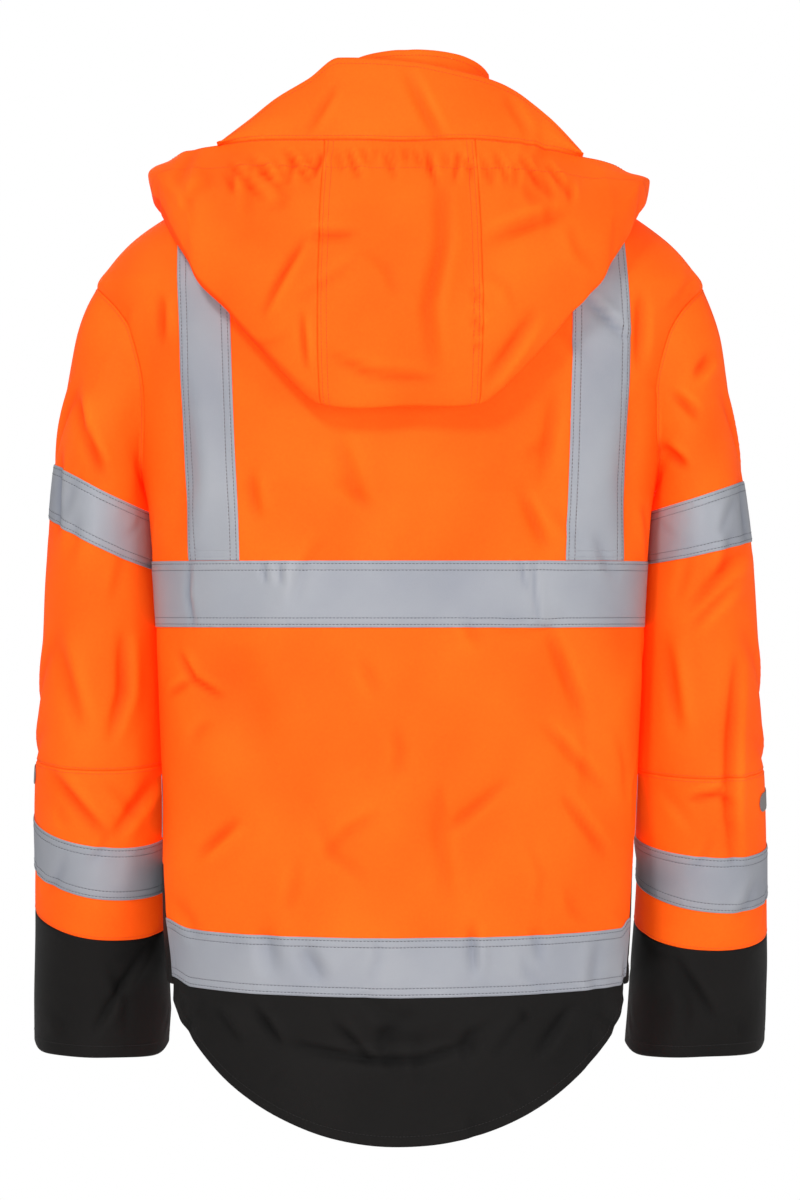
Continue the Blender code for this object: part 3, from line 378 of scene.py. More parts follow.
def creased(cloth, creases):
    """Presses the listed creases into the cloth: a soft trough with a ridge on its right-hand side."""
    push = np.zeros(cloth.points.shape[:2])
    crease_shade = cloth.crease_shade.copy()
    for view, width, depth, ridge, *line in creases:
        a, b, toward = VIEWS[view]
        seen = smooth(0.05, 0.45, cloth.normals @ np.array(toward, dtype=float))
        p, q = cloth.points[..., a], cloth.points[..., b]
        run = run_of(np.array(line))
        pieces, marks = np.diff(run), run / run[-1]
        best = np.full(p.shape, 1e9)
        side, along = np.zeros(p.shape), np.zeros(p.shape)
        for k in range(len(line) - 1):
            (a0, b0), (a1, b1) = line[k], line[k + 1]
            t = np.clip(((p - a0) * (a1 - a0) + (q - b0) * (b1 - b0)) / pieces[k] ** 2, 0, 1)
            off_a, off_b = p - lerp(a0, a1, t), q - lerp(b0, b1, t)
            off = np.hypot(off_a, off_b)
            nearer = off < best
            best = np.where(nearer, off, best)
            beside = ((a1 - a0) * (q - b0) - (b1 - b0) * (p - a0)) / pieces[k]
            side = np.where(nearer, beside, side)
            along = np.where(nearer, lerp(marks[k], marks[k + 1], t), along)
        taper = CREASE_END + (1 - CREASE_END) * np.sin(np.pi * np.clip(along, 0.0, 1.0)) ** 0.7
        trough = np.exp(-(best / width) ** 2)
        past_end = np.maximum(best ** 2 - side ** 2, 0) / width ** 2
        bank = np.exp(-((side + BANK_OFF * width) / (BANK_WIDTH * width)) ** 2 - past_end)
        push += seen * taper * (ridge * bank - depth * trough)
        # Painted shade along the trough and painted highlight along the ridge, for the cloth's colour.
        crease_shade += seen * taper * (depth * trough - 0.6 * ridge * bank) / (width * FULL_STEEPNESS)
    return Cloth(cloth.points + cloth.normals * push[..., None], cloth.normals, crease_shade)


def seen_from(view, rows):
    """Creases drawn in one view: width, depth, ridge, and the points of the line."""
    return [(view, *row) for row in rows]


def rumples(cloth, count, seed, depth=0.0025):
    """Short shallow creases strewn over a cloth, most of them steep or slanting."""
    dice = np.random.default_rng(seed)
    flat, out = cloth.points.reshape(-1, 3), cloth.normals.reshape(-1, 3)
    made = []
    for at in dice.integers(0, len(flat), count):
        x, y = out[at, :2]
        if abs(x) > abs(y):
            view, middle = ("left" if x > 0 else "right"), flat[at, 1:]
        else:
            view, middle = ("back" if y > 0 else "front"), flat[at, ::2]
        slant = dice.normal(1.57, 0.6)
        half = np.array([np.cos(slant), np.sin(slant)]) * dice.uniform(0.010, 0.034)
        bend = dice.uniform(-0.3, 0.3) * half[::-1] * [-1, 1]
        size = dice.uniform(0.4, 1.0) * (0.5 if abs(x) > abs(y) else 1.0)
        made.append((view, 0.0028 + 0.0036 * size, depth * size, depth * size * 0.7,
                     tuple(middle - half), tuple(middle + bend), tuple(middle + half)))
    return made


RELAX_WAVES = 14
RELAX_PITCH = (45, 120)


def relaxed(cloth, amount, seed):
    """Slow unevenness that loose cloth has everywhere, less of it where an arm lies against the side."""
    waves = np.random.default_rng(seed)
    push = np.zeros(cloth.points.shape[:2])
    for _ in range(RELAX_WAVES):
        way = unit(waves.normal(size=3) * [1.0, 1.0, 0.7])
        push += np.sin(cloth.points @ way * waves.uniform(*RELAX_PITCH) + waves.uniform(0, 6.28))
    push /= RELAX_WAVES ** 0.5
    # Low places are painted a little darker and high places a little lighter: painted shade and painted
    # light.
    crease_shade = cloth.crease_shade - 0.12 * push
    push *= (1 - 0.75 * np.abs(cloth.normals[..., 0])) * amount
    return Cloth(cloth.points + cloth.normals * push[..., None], cloth.normals, crease_shade)


class Signal:
    """A socket of a material's nodes, whose maths is written as plain expressions."""

    def __init__(self, tree, socket=None):
        self.tree, self.socket = tree, socket

    def node(self, kind, settings=None, inputs=None, out=0):
        made = self.tree.nodes.new("ShaderNode" + kind)
        for name, value in (settings or {}).items():
            setattr(made, name, value)
        for key, value in (inputs or {}).items():
            if isinstance(value, Signal):
                self.tree.links.new(value.socket, made.inputs[key])
            else:
                made.inputs[key].default_value = value
        return Signal(self.tree, made.outputs[out])

    def math(self, operation, *others):
        return self.node("Math", {"operation": operation}, dict(enumerate((self, *others))))

    def __add__(self, other):
        return self.math("ADD", other)

    def __sub__(self, other):
        return self.math("SUBTRACT", other)

    def __mul__(self, other):
        return self.math("MULTIPLY", other)

    def __truediv__(self, other):
        return self.math("DIVIDE", other)

    __radd__ = __add__
    __rmul__ = __mul__

    def __rsub__(self, other):
        return self * -1 + other

    def feed(self, node, name):
        self.tree.links.new(self.socket, node.inputs[name])

    def noise(self, scale, detail):
        return self.node("TexNoise", inputs={"Vector": self, "Scale": scale, "Detail": detail})

    def blend(self, dark, light):
        """Two colours mixed by this value."""
        return self.node("Mix", {"data_type": "RGBA"}, {0: self, 6: dark, 7: light}, out=2)


def material(name):
    """A new material, its shader, and a signal to start expressions from."""
    made = bpy.data.materials.new(name)
    made.use_nodes = True
    return made, made.node_tree.nodes["Principled BSDF"], Signal(made.node_tree)


def settle(node, values):
    for name, value in values.items():
        node.inputs[name].default_value = value


def laid_out(start):
    """Signals of metres along, metres across, metres to the edge, the place and the painted crease shade."""
    lay = start.node("Attribute", {"attribute_name": "lay"}, out=1)
    parts = lay.node("SeparateXYZ", inputs={"Vector": lay})
    along, athwart, edge = (Signal(start.tree, parts.socket.node.outputs[k]) for k in range(3))
    fold = start.node("Attribute", {"attribute_name": "fold"}, out=2)
    return along, athwart, edge, start.node("NewGeometry", out=0), fold


def finished(shader, colours, shade, roughness, height):
    """Feeds colour, roughness and relief to a cloth's shader."""
    shade = shade.math("MAXIMUM", 0.0).math("MINIMUM", 1.0)
    shade.blend(*colours).feed(shader, "Base Color")
    roughness.feed(shader, "Roughness")
    bump = shade.node("Bump", inputs={"Strength": 1.0, "Distance": 1.0, "Height": height})
    bump.feed(shader, "Normal")


def woven(name, colours, roughness, pitch, relief, sheen, gloss, glow=0.0):
    """Plain weave in a coated cloth: threads, grain, puckers at the seams, painted shade in creases and
    painted highlight on ridges.
    """
    made, shader, start = material(name)
    along, athwart, edge, place, fold = laid_out(start)
    turn = 2 * np.pi / pitch
    cells = (along * turn).math("SINE") * (athwart * turn).math("SINE")
    patches = place.noise(scale=9.0, detail=3.0)
    grain = place.noise(scale=420.0, detail=2.0)
    pucker = place.noise(scale=130.0, detail=1.0) * (edge * -160).math("EXPONENT")
    ripple = place.noise(scale=26.0, detail=3.0)
    finished(shader, colours,
             shade=0.27 + patches * 0.5 + grain * 0.25 + cells * 0.05 - fold * 0.55,
             roughness=roughness + grain * 0.08 - 0.04,
             height=cells * relief + grain * relief * 0.8 + pucker * 0.0011 + ripple * 0.0006)
    # The emission is painted light: a steady red glow from the cloth itself.
    settle(shader, {"Sheen Weight": sheen, "Sheen Roughness": 0.45, "Specular IOR Level": gloss,
                    "Emission Color": (1.0, 0.03, 0.0, 1), "Emission Strength": glow})
    return made


def lay_of(cloth, across_both_ways=True):
    """Metres along, metres across and metres to the nearest edge, for every point of the grid."""
    points = cloth.points
    step_j = np.linalg.norm(np.diff(points, axis=1), axis=-1)
    step_i = np.linalg.norm(np.diff(points, axis=0), axis=-1)
    along = np.concatenate([np.zeros((len(points), 1)), np.cumsum(step_j, axis=1)], axis=1)
    athwart = np.concatenate([np.zeros((1, points.shape[1])), np.cumsum(step_i, axis=0)], axis=0)
    edge = np.minimum(athwart, athwart[-1:] - athwart)
    if across_both_ways:
        edge = np.minimum(edge, np.minimum(along, along[:, -1:] - along))
    return np.stack([along, athwart, edge], axis=-1)


def lay_down(name, points, faces, finish, stands_for=()):
    """Makes a piece from points and faces, riding on the jacket."""
    mesh = bpy.data.meshes.new(name)
    mesh.from_pydata(points.tolist(), [], faces)
    mesh.materials.append(finish[0])
    mesh.shade_smooth()
    made = bpy.data.objects.new(name, mesh)
    bpy.context.collection.objects.link(made)
    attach(made, "root")
    if stands_for:
        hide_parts(*stands_for)
    return made


# The wall's edges are rounded by this share of its thickness.
EDGE_ROUND = 0.28


def sew(name, cloth, finish, thick=CLOTH, closed=False, stands_for=None):
    """A wall of cloth between a grid and the same grid moved in, with rounded edges."""
    rows, columns = cloth.points.shape[:2]
    outer = cloth.points.copy()
    inner = outer - cloth.normals * thick
    round_in = cloth.normals * thick * EDGE_ROUND
    for skin, sign in ((outer, -1), (inner, 1)):
        ends = [(skin, round_in)]
        if not closed:
            ends.append((skin.swapaxes(0, 1), round_in.swapaxes(0, 1)))
        for lines, turned in ends:
            for last, next_in in ((0, 1), (-1, -2)):
                lines[last] += sign * turned[last] + unit(lines[next_in] - lines[last]) * GAP / 2
    front = np.arange(rows * columns).reshape(rows, columns)
    if closed:
        front = np.concatenate([front, front[:, :1]], axis=1)
    back = front + rows * columns
    quads = [np.stack([front[:-1, :-1], front[:-1, 1:], front[1:, 1:], front[1:, :-1]], -1).reshape(-1, 4),
             np.stack([back[:-1, :-1], back[1:, :-1], back[1:, 1:], back[:-1, 1:]], -1).reshape(-1, 4),
             np.stack([front[0, 1:], front[0, :-1], back[0, :-1], back[0, 1:]], -1),
             np.stack([front[-1, :-1], front[-1, 1:], back[-1, 1:], back[-1, :-1]], -1)]
    if not closed:
        quads += [np.stack([front[:-1, 0], front[1:, 0], back[1:, 0], back[:-1, 0]], -1),
                  np.stack([front[1:, -1], front[:-1, -1], back[:-1, -1], back[1:, -1]], -1)]
    quads = np.concatenate(quads)
    middle = cloth.points[rows // 2:rows // 2 + 2, columns // 2:columns // 2 + 2]
    way = np.cross(middle[0, 1] - middle[0, 0], middle[1, 0] - middle[0, 0])
    if way @ cloth.normals[rows // 2, columns // 2] < 0:
        quads = quads[:, ::-1]
    points = np.concatenate([outer.reshape(-1, 3), inner.reshape(-1, 3)])
    made = lay_down(name, points, quads.tolist(), finish,
                    stands_for if stands_for is not None else (name.removesuffix("_cloth"),))
    lay = lay_of(cloth, not closed)
    # Every point carries its painted crease shade and its lay.
    for kind, form, field, values in (("fold", "FLOAT", "value", cloth.crease_shade),
                                      ("lay", "FLOAT_VECTOR", "vector", lay)):
        layer = made.data.attributes.new(kind, form, "POINT")
        layer.data.foreach_set(field, np.concatenate([values.ravel()] * 2).astype(np.float32))
    if closed:
        round_tube = cloth.points - np.roll(cloth.points, 1, axis=1)
    corner = cloth.points[:-1, :-1]
    cells = np.cross(cloth.points[1:, :-1] - corner, cloth.points[:-1, 1:] - corner)
    return made


STITCH_PITCH = 0.0034
STITCH_LENGTH = 0.0025
STITCH_HEIGHT = 0.0004
STITCH_SINK = 0.0001


def stitched(name, rails, finish, width=0.00065):
    """Rows of stitches as one mesh; each stitch is a short three-sided thread that dips at both ends."""
    places = []
    for points, normals in rails:
        run = run_of(points)
        marks = np.arange(STITCH_PITCH / 2, run[-1] - STITCH_PITCH / 2, STITCH_PITCH)
        ends = [along_run(marks + shift, run, points) for shift in (-STITCH_LENGTH / 2, 0, STITCH_LENGTH / 2)]
        out = unit(along_run(marks, run, normals))
        side = np.cross(out, unit(ends[2] - ends[0])) * width / 2
        rings = []
        for middle, high, wide in zip(ends, (0.25, 1.0, 0.25), (0.55, 1.0, 0.55)):
            foot = middle - out * STITCH_SINK
            rings += [foot - side * wide, middle + out * STITCH_HEIGHT * high, foot + side * wide]
        places.append(np.stack(rings, axis=1))
    places = np.concatenate(places)
    shape = [(0, 1, 4, 3), (1, 2, 5, 4), (2, 0, 3, 5), (3, 4, 7, 6), (4, 5, 8, 7), (5, 3, 6, 8)]
    starts = np.arange(len(places))[:, None, None] * len(rings)
    quads = (np.array(shape)[None] + starts).reshape(-1, 4).tolist()
    caps = (np.array([(0, 2, 1), (6, 7, 8)])[None] + starts).reshape(-1, 3).tolist()
    return lay_down(name, places.reshape(-1, 3), quads + caps, finish)


def thread(name, colour):
    made, shader, start = material(name)
    grain = start.node("NewGeometry", out=0).noise(scale=900.0, detail=1.0)
    grain.blend([0.6 * c for c in colour[:3]] + [1], colour).feed(shader, "Base Color")
    settle(shader, {"Roughness": 0.55})
    return made


# A finish is a material and the name of its slot; only the material is used here.
# The orange cloth's glow is painted light, a steady red glow of its own.
ORANGE = (woven("orange_oxford_cloth", ((0.93, 0.055, 0.001, 1), (1.0, 0.175, 0.010, 1)), roughness=0.70,
                pitch=0.0007, relief=0.00004, sheen=0.0, gloss=0.10, glow=0.30), "orange_cloth")
ORANGE_THREAD = (thread("orange_thread", (0.56, 0.045, 0.004, 1)), "orange_cloth")

BACK_CELL = 0.0038
BACK_CREASES = seen_from("back", [
    (0.0220, 0.0060, 0.0010, (0.152, -0.440), (0.128, -0.540)),
    (0.0100, 0.0055, 0.0010, (0.126, -0.702), (0.118, -0.745)),
    (0.0080, 0.0045, 0.0010, (0.090, -0.722), (0.072, -0.752)),
    (0.0050, 0.0040, 0.0014, (-0.066, -0.700), (-0.068, -0.745)),
    (0.0060, 0.0036, 0.0010, (-0.126, -0.704), (-0.131, -0.736)),
    (0.0048, 0.0047, 0.0018, (0.223, -0.118), (0.224, -0.158)),
    (0.0056, 0.0054, 0.0022, (-0.225, -0.118), (-0.224, -0.178)),
    (0.0040, 0.0040, 0.0022, (-0.168, -0.116), (-0.210, -0.156)),
    (0.0036, 0.0043, 0.0025, (0.206, -0.450), (0.192, -0.474), (0.168, -0.489)),
    (0.0036, 0.0032, 0.0018, (0.216, -0.489), (0.196, -0.476)),
    (0.0048, 0.0047, 0.0029, (0.152, -0.606), (0.188, -0.638)),
    (0.0056, 0.0040, 0.0025, (-0.137, -0.428), (-0.170, -0.510)),
    (0.0048, 0.0036, 0.0022, (-0.135, -0.518), (-0.190, -0.576)),
    (0.0048, 0.0040, 0.0022, (-0.152, -0.583), (-0.193, -0.638)),
    (0.0048, 0.0029, 0.0018, (-0.096, -0.570), (-0.044, -0.612)),
    (0.0072, 0.0029, 0.0022, (-0.030, -0.575), (-0.044, -0.676)),
    (0.0048, 0.0036, 0.0022, (-0.113, -0.303), (-0.134, -0.350)),
    (0.0056, 0.0040, 0.0025, (-0.144, -0.212), (-0.132, -0.284)),
    (0.0072, 0.0032, 0.0025, (0.058, -0.250), (0.036, -0.312)),
    (0.0056, 0.0036, 0.0022, (0.139, -0.284), (0.132, -0.322)),
    (0.0096, 0.0036, 0.0025, (0.205, -0.200), (0.196, -0.290), (0.206, -0.350)),
    (0.0096, 0.0036, 0.0022, (-0.218, -0.210), (-0.208, -0.290), (-0.214, -0.350)),
    (0.0028, 0.0025, 0.0011, (0.195, -0.3635), (0.197, -0.395), (0.191, -0.426)),
    (0.0028, 0.0023, 0.0011, (0.126, -0.366), (0.123, -0.384)),
    (0.0028, 0.0022, 0.0011, (0.110, -0.366), (0.108, -0.386)),
    (0.0028, 0.0022, 0.0011, (-0.111, -0.3635), (-0.116, -0.390)),
    (0.0028, 0.0022, 0.0011, (-0.122, -0.3635), (-0.127, -0.420)),
])
SIDE_CREASES = seen_from("left", [
    (0.0072, 0.0045, 0.0027, (0.030, -0.420), (-0.020, -0.500), (-0.050, -0.520)),
]) + seen_from("right", [
    (0.0072, 0.0045, 0.0027, (0.040, -0.440), (-0.010, -0.520), (-0.045, -0.530)),
])


def body_cloth(side, face, cell):
    tops, low, turns, heights = body_half(side, face, cell)
    sign = 1 if side == "left" else -1
    return tops, low, Cloth(body_point(sign * turns, heights), body_normal(sign * turns, heights))


def nearest(values, value):
    return int(np.argmin(np.abs(values - value)))


def between(values, first, last):
    """The slice of a rising list from one value to another, both included."""
    return slice(nearest(values, first), nearest(values, last) + 1)


def side_by_side(one, other):
    return Cloth(*(np.concatenate([getattr(one, kind), getattr(other, kind)], axis=1)
                   for kind in ("points", "normals", "crease_shade")))


back_tops, back_low, back_left = body_cloth("left", 1, BACK_CELL)
_, _, back_right = body_cloth("right", 1, BACK_CELL)
back = side_by_side(back_right.part(columns=slice(None, 0, -1)), back_left)
creases = BACK_CREASES + SIDE_CREASES + rumples(back, count=46, seed=2)
back = relaxed(creased(back, creases), amount=0.0010, seed=3)
back_middle = len(back_tops) - 1
seam_row = nearest(back_low, SEAM_Z)
back_armpit = len(back_low)
back = back.renewed()
back_panel = back.part(slice(seam_row, None))
sew("back_panel_cloth", back_panel, ORANGE)

# ================================================================ tail
# The tail hangs below the hem seam in black cloth, cut to a deep curve. Its edge is turned up and
# topstitched once.
BLACK = (woven("black_oxford_cloth", ((0.0015, 0.0013, 0.0013, 1), (0.0095, 0.0083, 0.0078, 1)),
               roughness=0.58, pitch=0.0007, relief=0.00005, sheen=0.02, gloss=0.14), "black_cloth")
BLACK_THREAD = (thread("black_thread", (0.020, 0.018, 0.018, 1)), "black_cloth")
# The tail lies flat in the last rows under the hem tape.
TAIL_FADE_ROWS = 7
TAIL_CREASES = seen_from("back", [
    (0.0048, 0.0054, 0.0029, (0.140, -0.770), (0.124, -0.795), (0.112, -0.812)),
    (0.0040, 0.0047, 0.0029, (0.092, -0.814), (0.022, -0.826), (-0.020, -0.825), (-0.061, -0.812)),
    (0.0040, 0.0040, 0.0022, (0.062, -0.790), (0.026, -0.828)),
    (0.0032, 0.0032, 0.0018, (-0.113, -0.777), (-0.117, -0.792)),
    (0.0056, 0.0036, 0.0022, (-0.160, -0.776), (-0.128, -0.822)),
    (0.0056, 0.0029, 0.0018, (0.172, -0.782), (0.150, -0.812)),
])
tail = back.part(slice(0, seam_row + 1))
folded = creased(tail, TAIL_CREASES + rumples(tail, count=22, seed=4))
rows_below = nearest(back_low, BAND_LOW_Z) - 1 - np.arange(seam_row + 1)
fade = np.clip(rows_below / TAIL_FADE_ROWS, 0, 1)[:, None]
tail = Cloth(lerp(tail.points, folded.points, fade[..., None]), tail.normals, folded.crease_shade * fade).renewed()
sew("back_tail_cloth", tail, BLACK)
stitched("back_tail_stitching", [tail.rail("low", 0.010, 0.010)], BLACK_THREAD)

# ================================================================ fronts
# Two fronts meet on the centre line under the storm flap: orange above, black for the last hand's
# width. The side seams sit behind the side line.
FRONT_CELL = 0.0054
FRONT_CREASES = seen_from("front", [
    (0.0064, 0.0047, 0.0027, (0.118, -0.238), (0.080, -0.330)),
    (0.0064, 0.0047, 0.0027, (-0.124, -0.228), (-0.084, -0.322)),
    (0.0072, 0.0043, 0.0025, (0.150, -0.470), (0.108, -0.560)),
    (0.0064, 0.0043, 0.0025, (-0.146, -0.452), (-0.114, -0.540)),
    (0.0080, 0.0040, 0.0025, (0.190, -0.200), (0.165, -0.300)),
    (0.0080, 0.0040, 0.0025, (-0.186, -0.190), (-0.168, -0.290)),
    (0.0080, 0.0036, 0.0022, (0.060, -0.440), (0.075, -0.540)),
    (0.0080, 0.0036, 0.0022, (-0.070, -0.450), (-0.058, -0.550)),
    (0.0056, 0.0032, 0.0018, (0.130, -0.640), (0.160, -0.700)),
    (0.0056, 0.0032, 0.0018, (-0.120, -0.650), (-0.150, -0.715)),
])
fronts = {}
for side, seed in (("left", 5), ("right", 8)):
    front_tops, front_low, half = body_cloth(side, -1, FRONT_CELL)
    creases = FRONT_CREASES + SIDE_CREASES + rumples(half, count=24, seed=seed)
    fronts[side] = relaxed(creased(half, creases), amount=0.0010, seed=seed).renewed()
    hem_row = nearest(front_low, FRONT_BLACK_Z)
    upper, lower = fronts[side].part(slice(hem_row, None)), fronts[side].part(slice(0, hem_row + 1))
    sew(f"front_{side}_cloth", upper, ORANGE)
    sew(f"front_{side}_hem_cloth", lower, BLACK)
    stitched(f"front_{side}_stitching", [upper.rail("low", off) for off in (0.002, 0.008)], ORANGE_THREAD)
    stitched(f"front_{side}_hem_stitching", [lower.rail("low", 0.018, 0.004)], BLACK_THREAD)
front_armpit = len(front_low)

# ================================================================ storm flap
# The flap hides the zip. It is a strip of the same two cloths over both front edges, turned in along
# its sides and topstitched.
flap_column = nearest(front_tops, FLAP_REACH)
flap = side_by_side(fronts["left"].part(columns=slice(flap_column, None, -1)),
                    fronts["right"].part(columns=slice(flap_column + 1))).lifted(GAP + CLOTH)
for name, rows, finish, sewing in (("storm_flap", slice(hem_row, None), ORANGE, ORANGE_THREAD),
                                   ("storm_flap_hem", slice(hem_row + 1), BLACK, BLACK_THREAD)):
    piece = flap.part(rows)
    sew(name + "_cloth", piece, finish)
    rails = [piece.rail(side, off) for side in ("first", "last") for off in (0.003, 0.010)]
    stitched(name + "_stitching", rails, sewing)

# ================================================================ collar
# A stand collar, highest at the nape, sewn into the neckline and leaning a little to one side. One
# row of topstitching follows its upper edge.
COLLAR_BACK_Z = 0.119
COLLAR_FRONT_Z = 0.078
COLLAR_LEAN_X = -0.012
COLLAR_TOP_BACK_Y = 0.060
COLLAR_TOP_FRONT_Y = -0.072
COLLAR_TOP_HALF = 0.078
COLLAR_BASE_Y = 0.075
COLLAR_RISE_Y = (-0.05, 0.10)
COLLAR_LEAN_Y = (-0.08, 0.04)
COLLAR_ROWS = 30
COLLAR_CREASES = seen_from("back", [
    (0.0048, 0.0029, 0.0018, (0.030, 0.100), (0.012, 0.060)),
    (0.0048, 0.0029, 0.0018, (-0.040, 0.096), (-0.052, 0.060)),
]) + seen_from("front", [
    (0.0056, 0.0032, 0.0018, (0.050, 0.030), (0.018, 0.046)),
    (0.0056, 0.0032, 0.0018, (-0.056, 0.026), (-0.020, 0.040)),
    (0.0056, 0.0025, 0.0014, (0.044, -0.004), (0.014, 0.006)),
])


def facing(points, outward, closed=False):
    """A grid of points as cloth, with its directions on the side that outward points to."""
    normals = across(points, closed)
    return Cloth(points, normals * np.sign((normals * outward).sum()))


neck_back, neck_front = nearest(back_tops, NECK_X), nearest(front_tops, NECK_X)
neck_spans = ((fronts["left"], slice(0, neck_front + 1)),
              (back, slice(back_middle + neck_back - 1, back_middle - neck_back, -1)),
              (fronts["right"], slice(neck_front, None, -1)))
base = np.concatenate([cloth.points[-1, span] for cloth, span in neck_spans])
base_out = np.concatenate([cloth.normals[-1, span] for cloth, span in neck_spans])
angle = np.arctan2(base[:, 0] / NECK_X, base[:, 1] / COLLAR_BASE_Y)
depth = np.where(np.cos(angle) > 0, COLLAR_TOP_BACK_Y, -COLLAR_TOP_FRONT_Y)
rim_top = np.stack([COLLAR_TOP_HALF * np.sin(angle), depth * np.cos(angle),
                    lerp(COLLAR_FRONT_Z, COLLAR_BACK_Z, smooth(*COLLAR_RISE_Y, base[:, 1]))], axis=-1)
rim_top[[0, -1], 0] = base[[0, -1], 0]
share = np.linspace(0, 1, COLLAR_ROWS)[:, None, None]
lean = COLLAR_LEAN_X * smooth(*COLLAR_LEAN_Y, base[:, 1])[None, :, None] * share ** 2
collar_points = lerp(base[None], rim_top[None], share) + lean * np.array([1.0, 0.0, 0.0])
onward = unit(np.cross(np.gradient(base, axis=0), base_out))
onward *= np.sign(onward[:, 2:] - onward[:, :1] * np.sign(base[:, :1]))
collar = facing(collar_points, base_out)
collar.points = collar.points + onward * GAP
collar.normals[0] = base_out
collar = relaxed(creased(collar, COLLAR_CREASES), amount=0.0004, seed=12).renewed()
sew("collar_cloth", collar, ORANGE)
stitched("collar_stitching", [collar.rail("top", 0.006, 0.004), collar.rail("low", 0.003, 0.004)],
         ORANGE_THREAD)

# ================================================================ tapes of the body
# Reflective tapes are sewn flat on the cloth, each with two rows of dark stitching along either edge:
# one round the waist, one round the hem, and a brace over each shoulder.
TAPE = 0.0008
TAPE_ROWS = (0.0030, 0.0090)
TAPE_STITCH = 0.00075
TAPE_GRID = 0.0016


def tape_finish(name, colours):
    """Glass-bead tape: a fine diagonal grid of cells under a soft, even sheen, with painted shade in its
    creases.
    """
    made, shader, start = material(name)
    along, athwart, edge, place, fold = laid_out(start)
    turn = 2 * np.pi / TAPE_GRID
    cells = ((along + athwart) * turn).math("SINE") * ((along - athwart) * turn).math("SINE")
    beads = place.noise(scale=1500.0, detail=1.0)
    clouds = place.noise(scale=14.0, detail=3.0)
    rows = [1 - ((edge - off).math("ABSOLUTE") / 0.0011).math("MINIMUM", 1.0) for off in TAPE_ROWS]
    pucker = place.noise(scale=150.0, detail=1.0) * (edge * -110).math("EXPONENT")
    finished(shader, colours,
             shade=0.15 + clouds * 0.6 + beads * 0.25 + cells * 0.06 - fold * 0.6,
             roughness=0.48 + beads * 0.12,
             height=beads * 0.00004 + cells * 0.00001 + pucker * 0.0011 - (rows[0] + rows[1]) * 0.00028)
    settle(shader, {"Metallic": 0.10, "Specular IOR Level": 0.35})
    return made, "reflective_tape"


SILVER = tape_finish("reflective_bead_tape", ((0.24, 0.258, 0.312, 1), (0.40, 0.410, 0.440, 1)))
TAPE_THREAD = (thread("grey_tape_thread", (0.085, 0.085, 0.10, 1)), "reflective_tape")
BRACE_THREAD = (thread("brown_tape_thread", (0.115, 0.060, 0.050, 1)), "reflective_tape")


def tape(name, cloth, sewing, sides, closed=False):
    """A tape on a panel: the panel's own points, moved out, with its rows of stitches."""
    laid = cloth.lifted(GAP + TAPE)
    sew(name + "_tape", laid, SILVER, thick=TAPE, closed=closed, stands_for=(name,))
    rails = [laid.rail(side, off, closed=closed) for side in sides for off in TAPE_ROWS]
    stitched(name + "_stitching", rails, sewing, width=TAPE_STITCH)


waist_rows = between(back_low, WAIST_LOW, WAIST_TOP)
brace_rows = slice(waist_rows.stop - 1, None)
tape("waist_band_back", back.part(waist_rows), TAPE_THREAD, ("low", "top"))
tape("hem_band_back", back.part(between(back_low, BAND_LOW_Z, BAND_TOP_Z)), TAPE_THREAD, ("low", "top"))
back_reach = np.concatenate([-back_tops[:0:-1], back_tops])
BACK_BRACES = {"left": (BRACE_INNER_TOP, BRACE_OUTER_TOP), "right": (-BRACE_OUTER_TOP, -BRACE_INNER_TOP)}
for side, ends in BACK_BRACES.items():
    brace = back.part(brace_rows, between(back_reach, *ends))
    tape(f"brace_{side}_back", brace, BRACE_THREAD, ("first", "last"))
waist_rows = between(front_low, WAIST_LOW, WAIST_TOP)
hem_rows = between(front_low, FRONT_BAND_LOW, FRONT_BAND_TOP)
beyond_flap = slice(flap_column, None)
for side, half in fronts.items():
    tape("waist_band_" + side, half.part(waist_rows, beyond_flap), TAPE_THREAD, ("low", "top"))
    tape("hem_band_" + side, half.part(hem_rows, beyond_flap), TAPE_THREAD, ("low", "top"))
    brace = half.part(slice(waist_rows.stop - 1, None), between(front_tops, BRACE_INNER_TOP, BRACE_OUTER_TOP))
    tape(f"brace_{side}_front", brace, BRACE_THREAD, ("first", "last"))

# ================================================================ sleeves
# Each sleeve is a tube from the armhole to the cuff: an upper and a lower orange part with a seam at
# the elbow, and a black cuff. The forearms swing forward. Two reflective bands go round each.

# The rings of a sleeve, from the armhole to the cuff's edge. Share is how much a ring still follows the
# armhole's own curve.
SLEEVE = Table("ring centre_y half_depth share", [
    (0, +0.000, 0.078, 1.00), (1, +0.000, 0.079, 0.85), (2, -0.002, 0.081, 0.60),
    (3, -0.004, 0.082, 0.35), (4, -0.007, 0.082, 0.15), (5, -0.010, 0.081, 0.03),
    (6, -0.011, 0.080, 0.00), (7, -0.012, 0.079, 0.00), (8, -0.012, 0.076, 0.00),
    (9, -0.011, 0.073, 0.00), (10, -0.010, 0.071, 0.00), (11, -0.012, 0.068, 0.00),
    (12, -0.019, 0.067, 0.00), (13, -0.028, 0.066, 0.00), (14, -0.035, 0.066, 0.00),
    (15, -0.042, 0.066, 0.00), (16, -0.052, 0.065, 0.00), (17, -0.061, 0.064, 0.00),
    (18, -0.069, 0.063, 0.00), (19, -0.075, 0.062, 0.00),
])
SIDES = "ring outer_x outer_z inner_x inner_z sag"
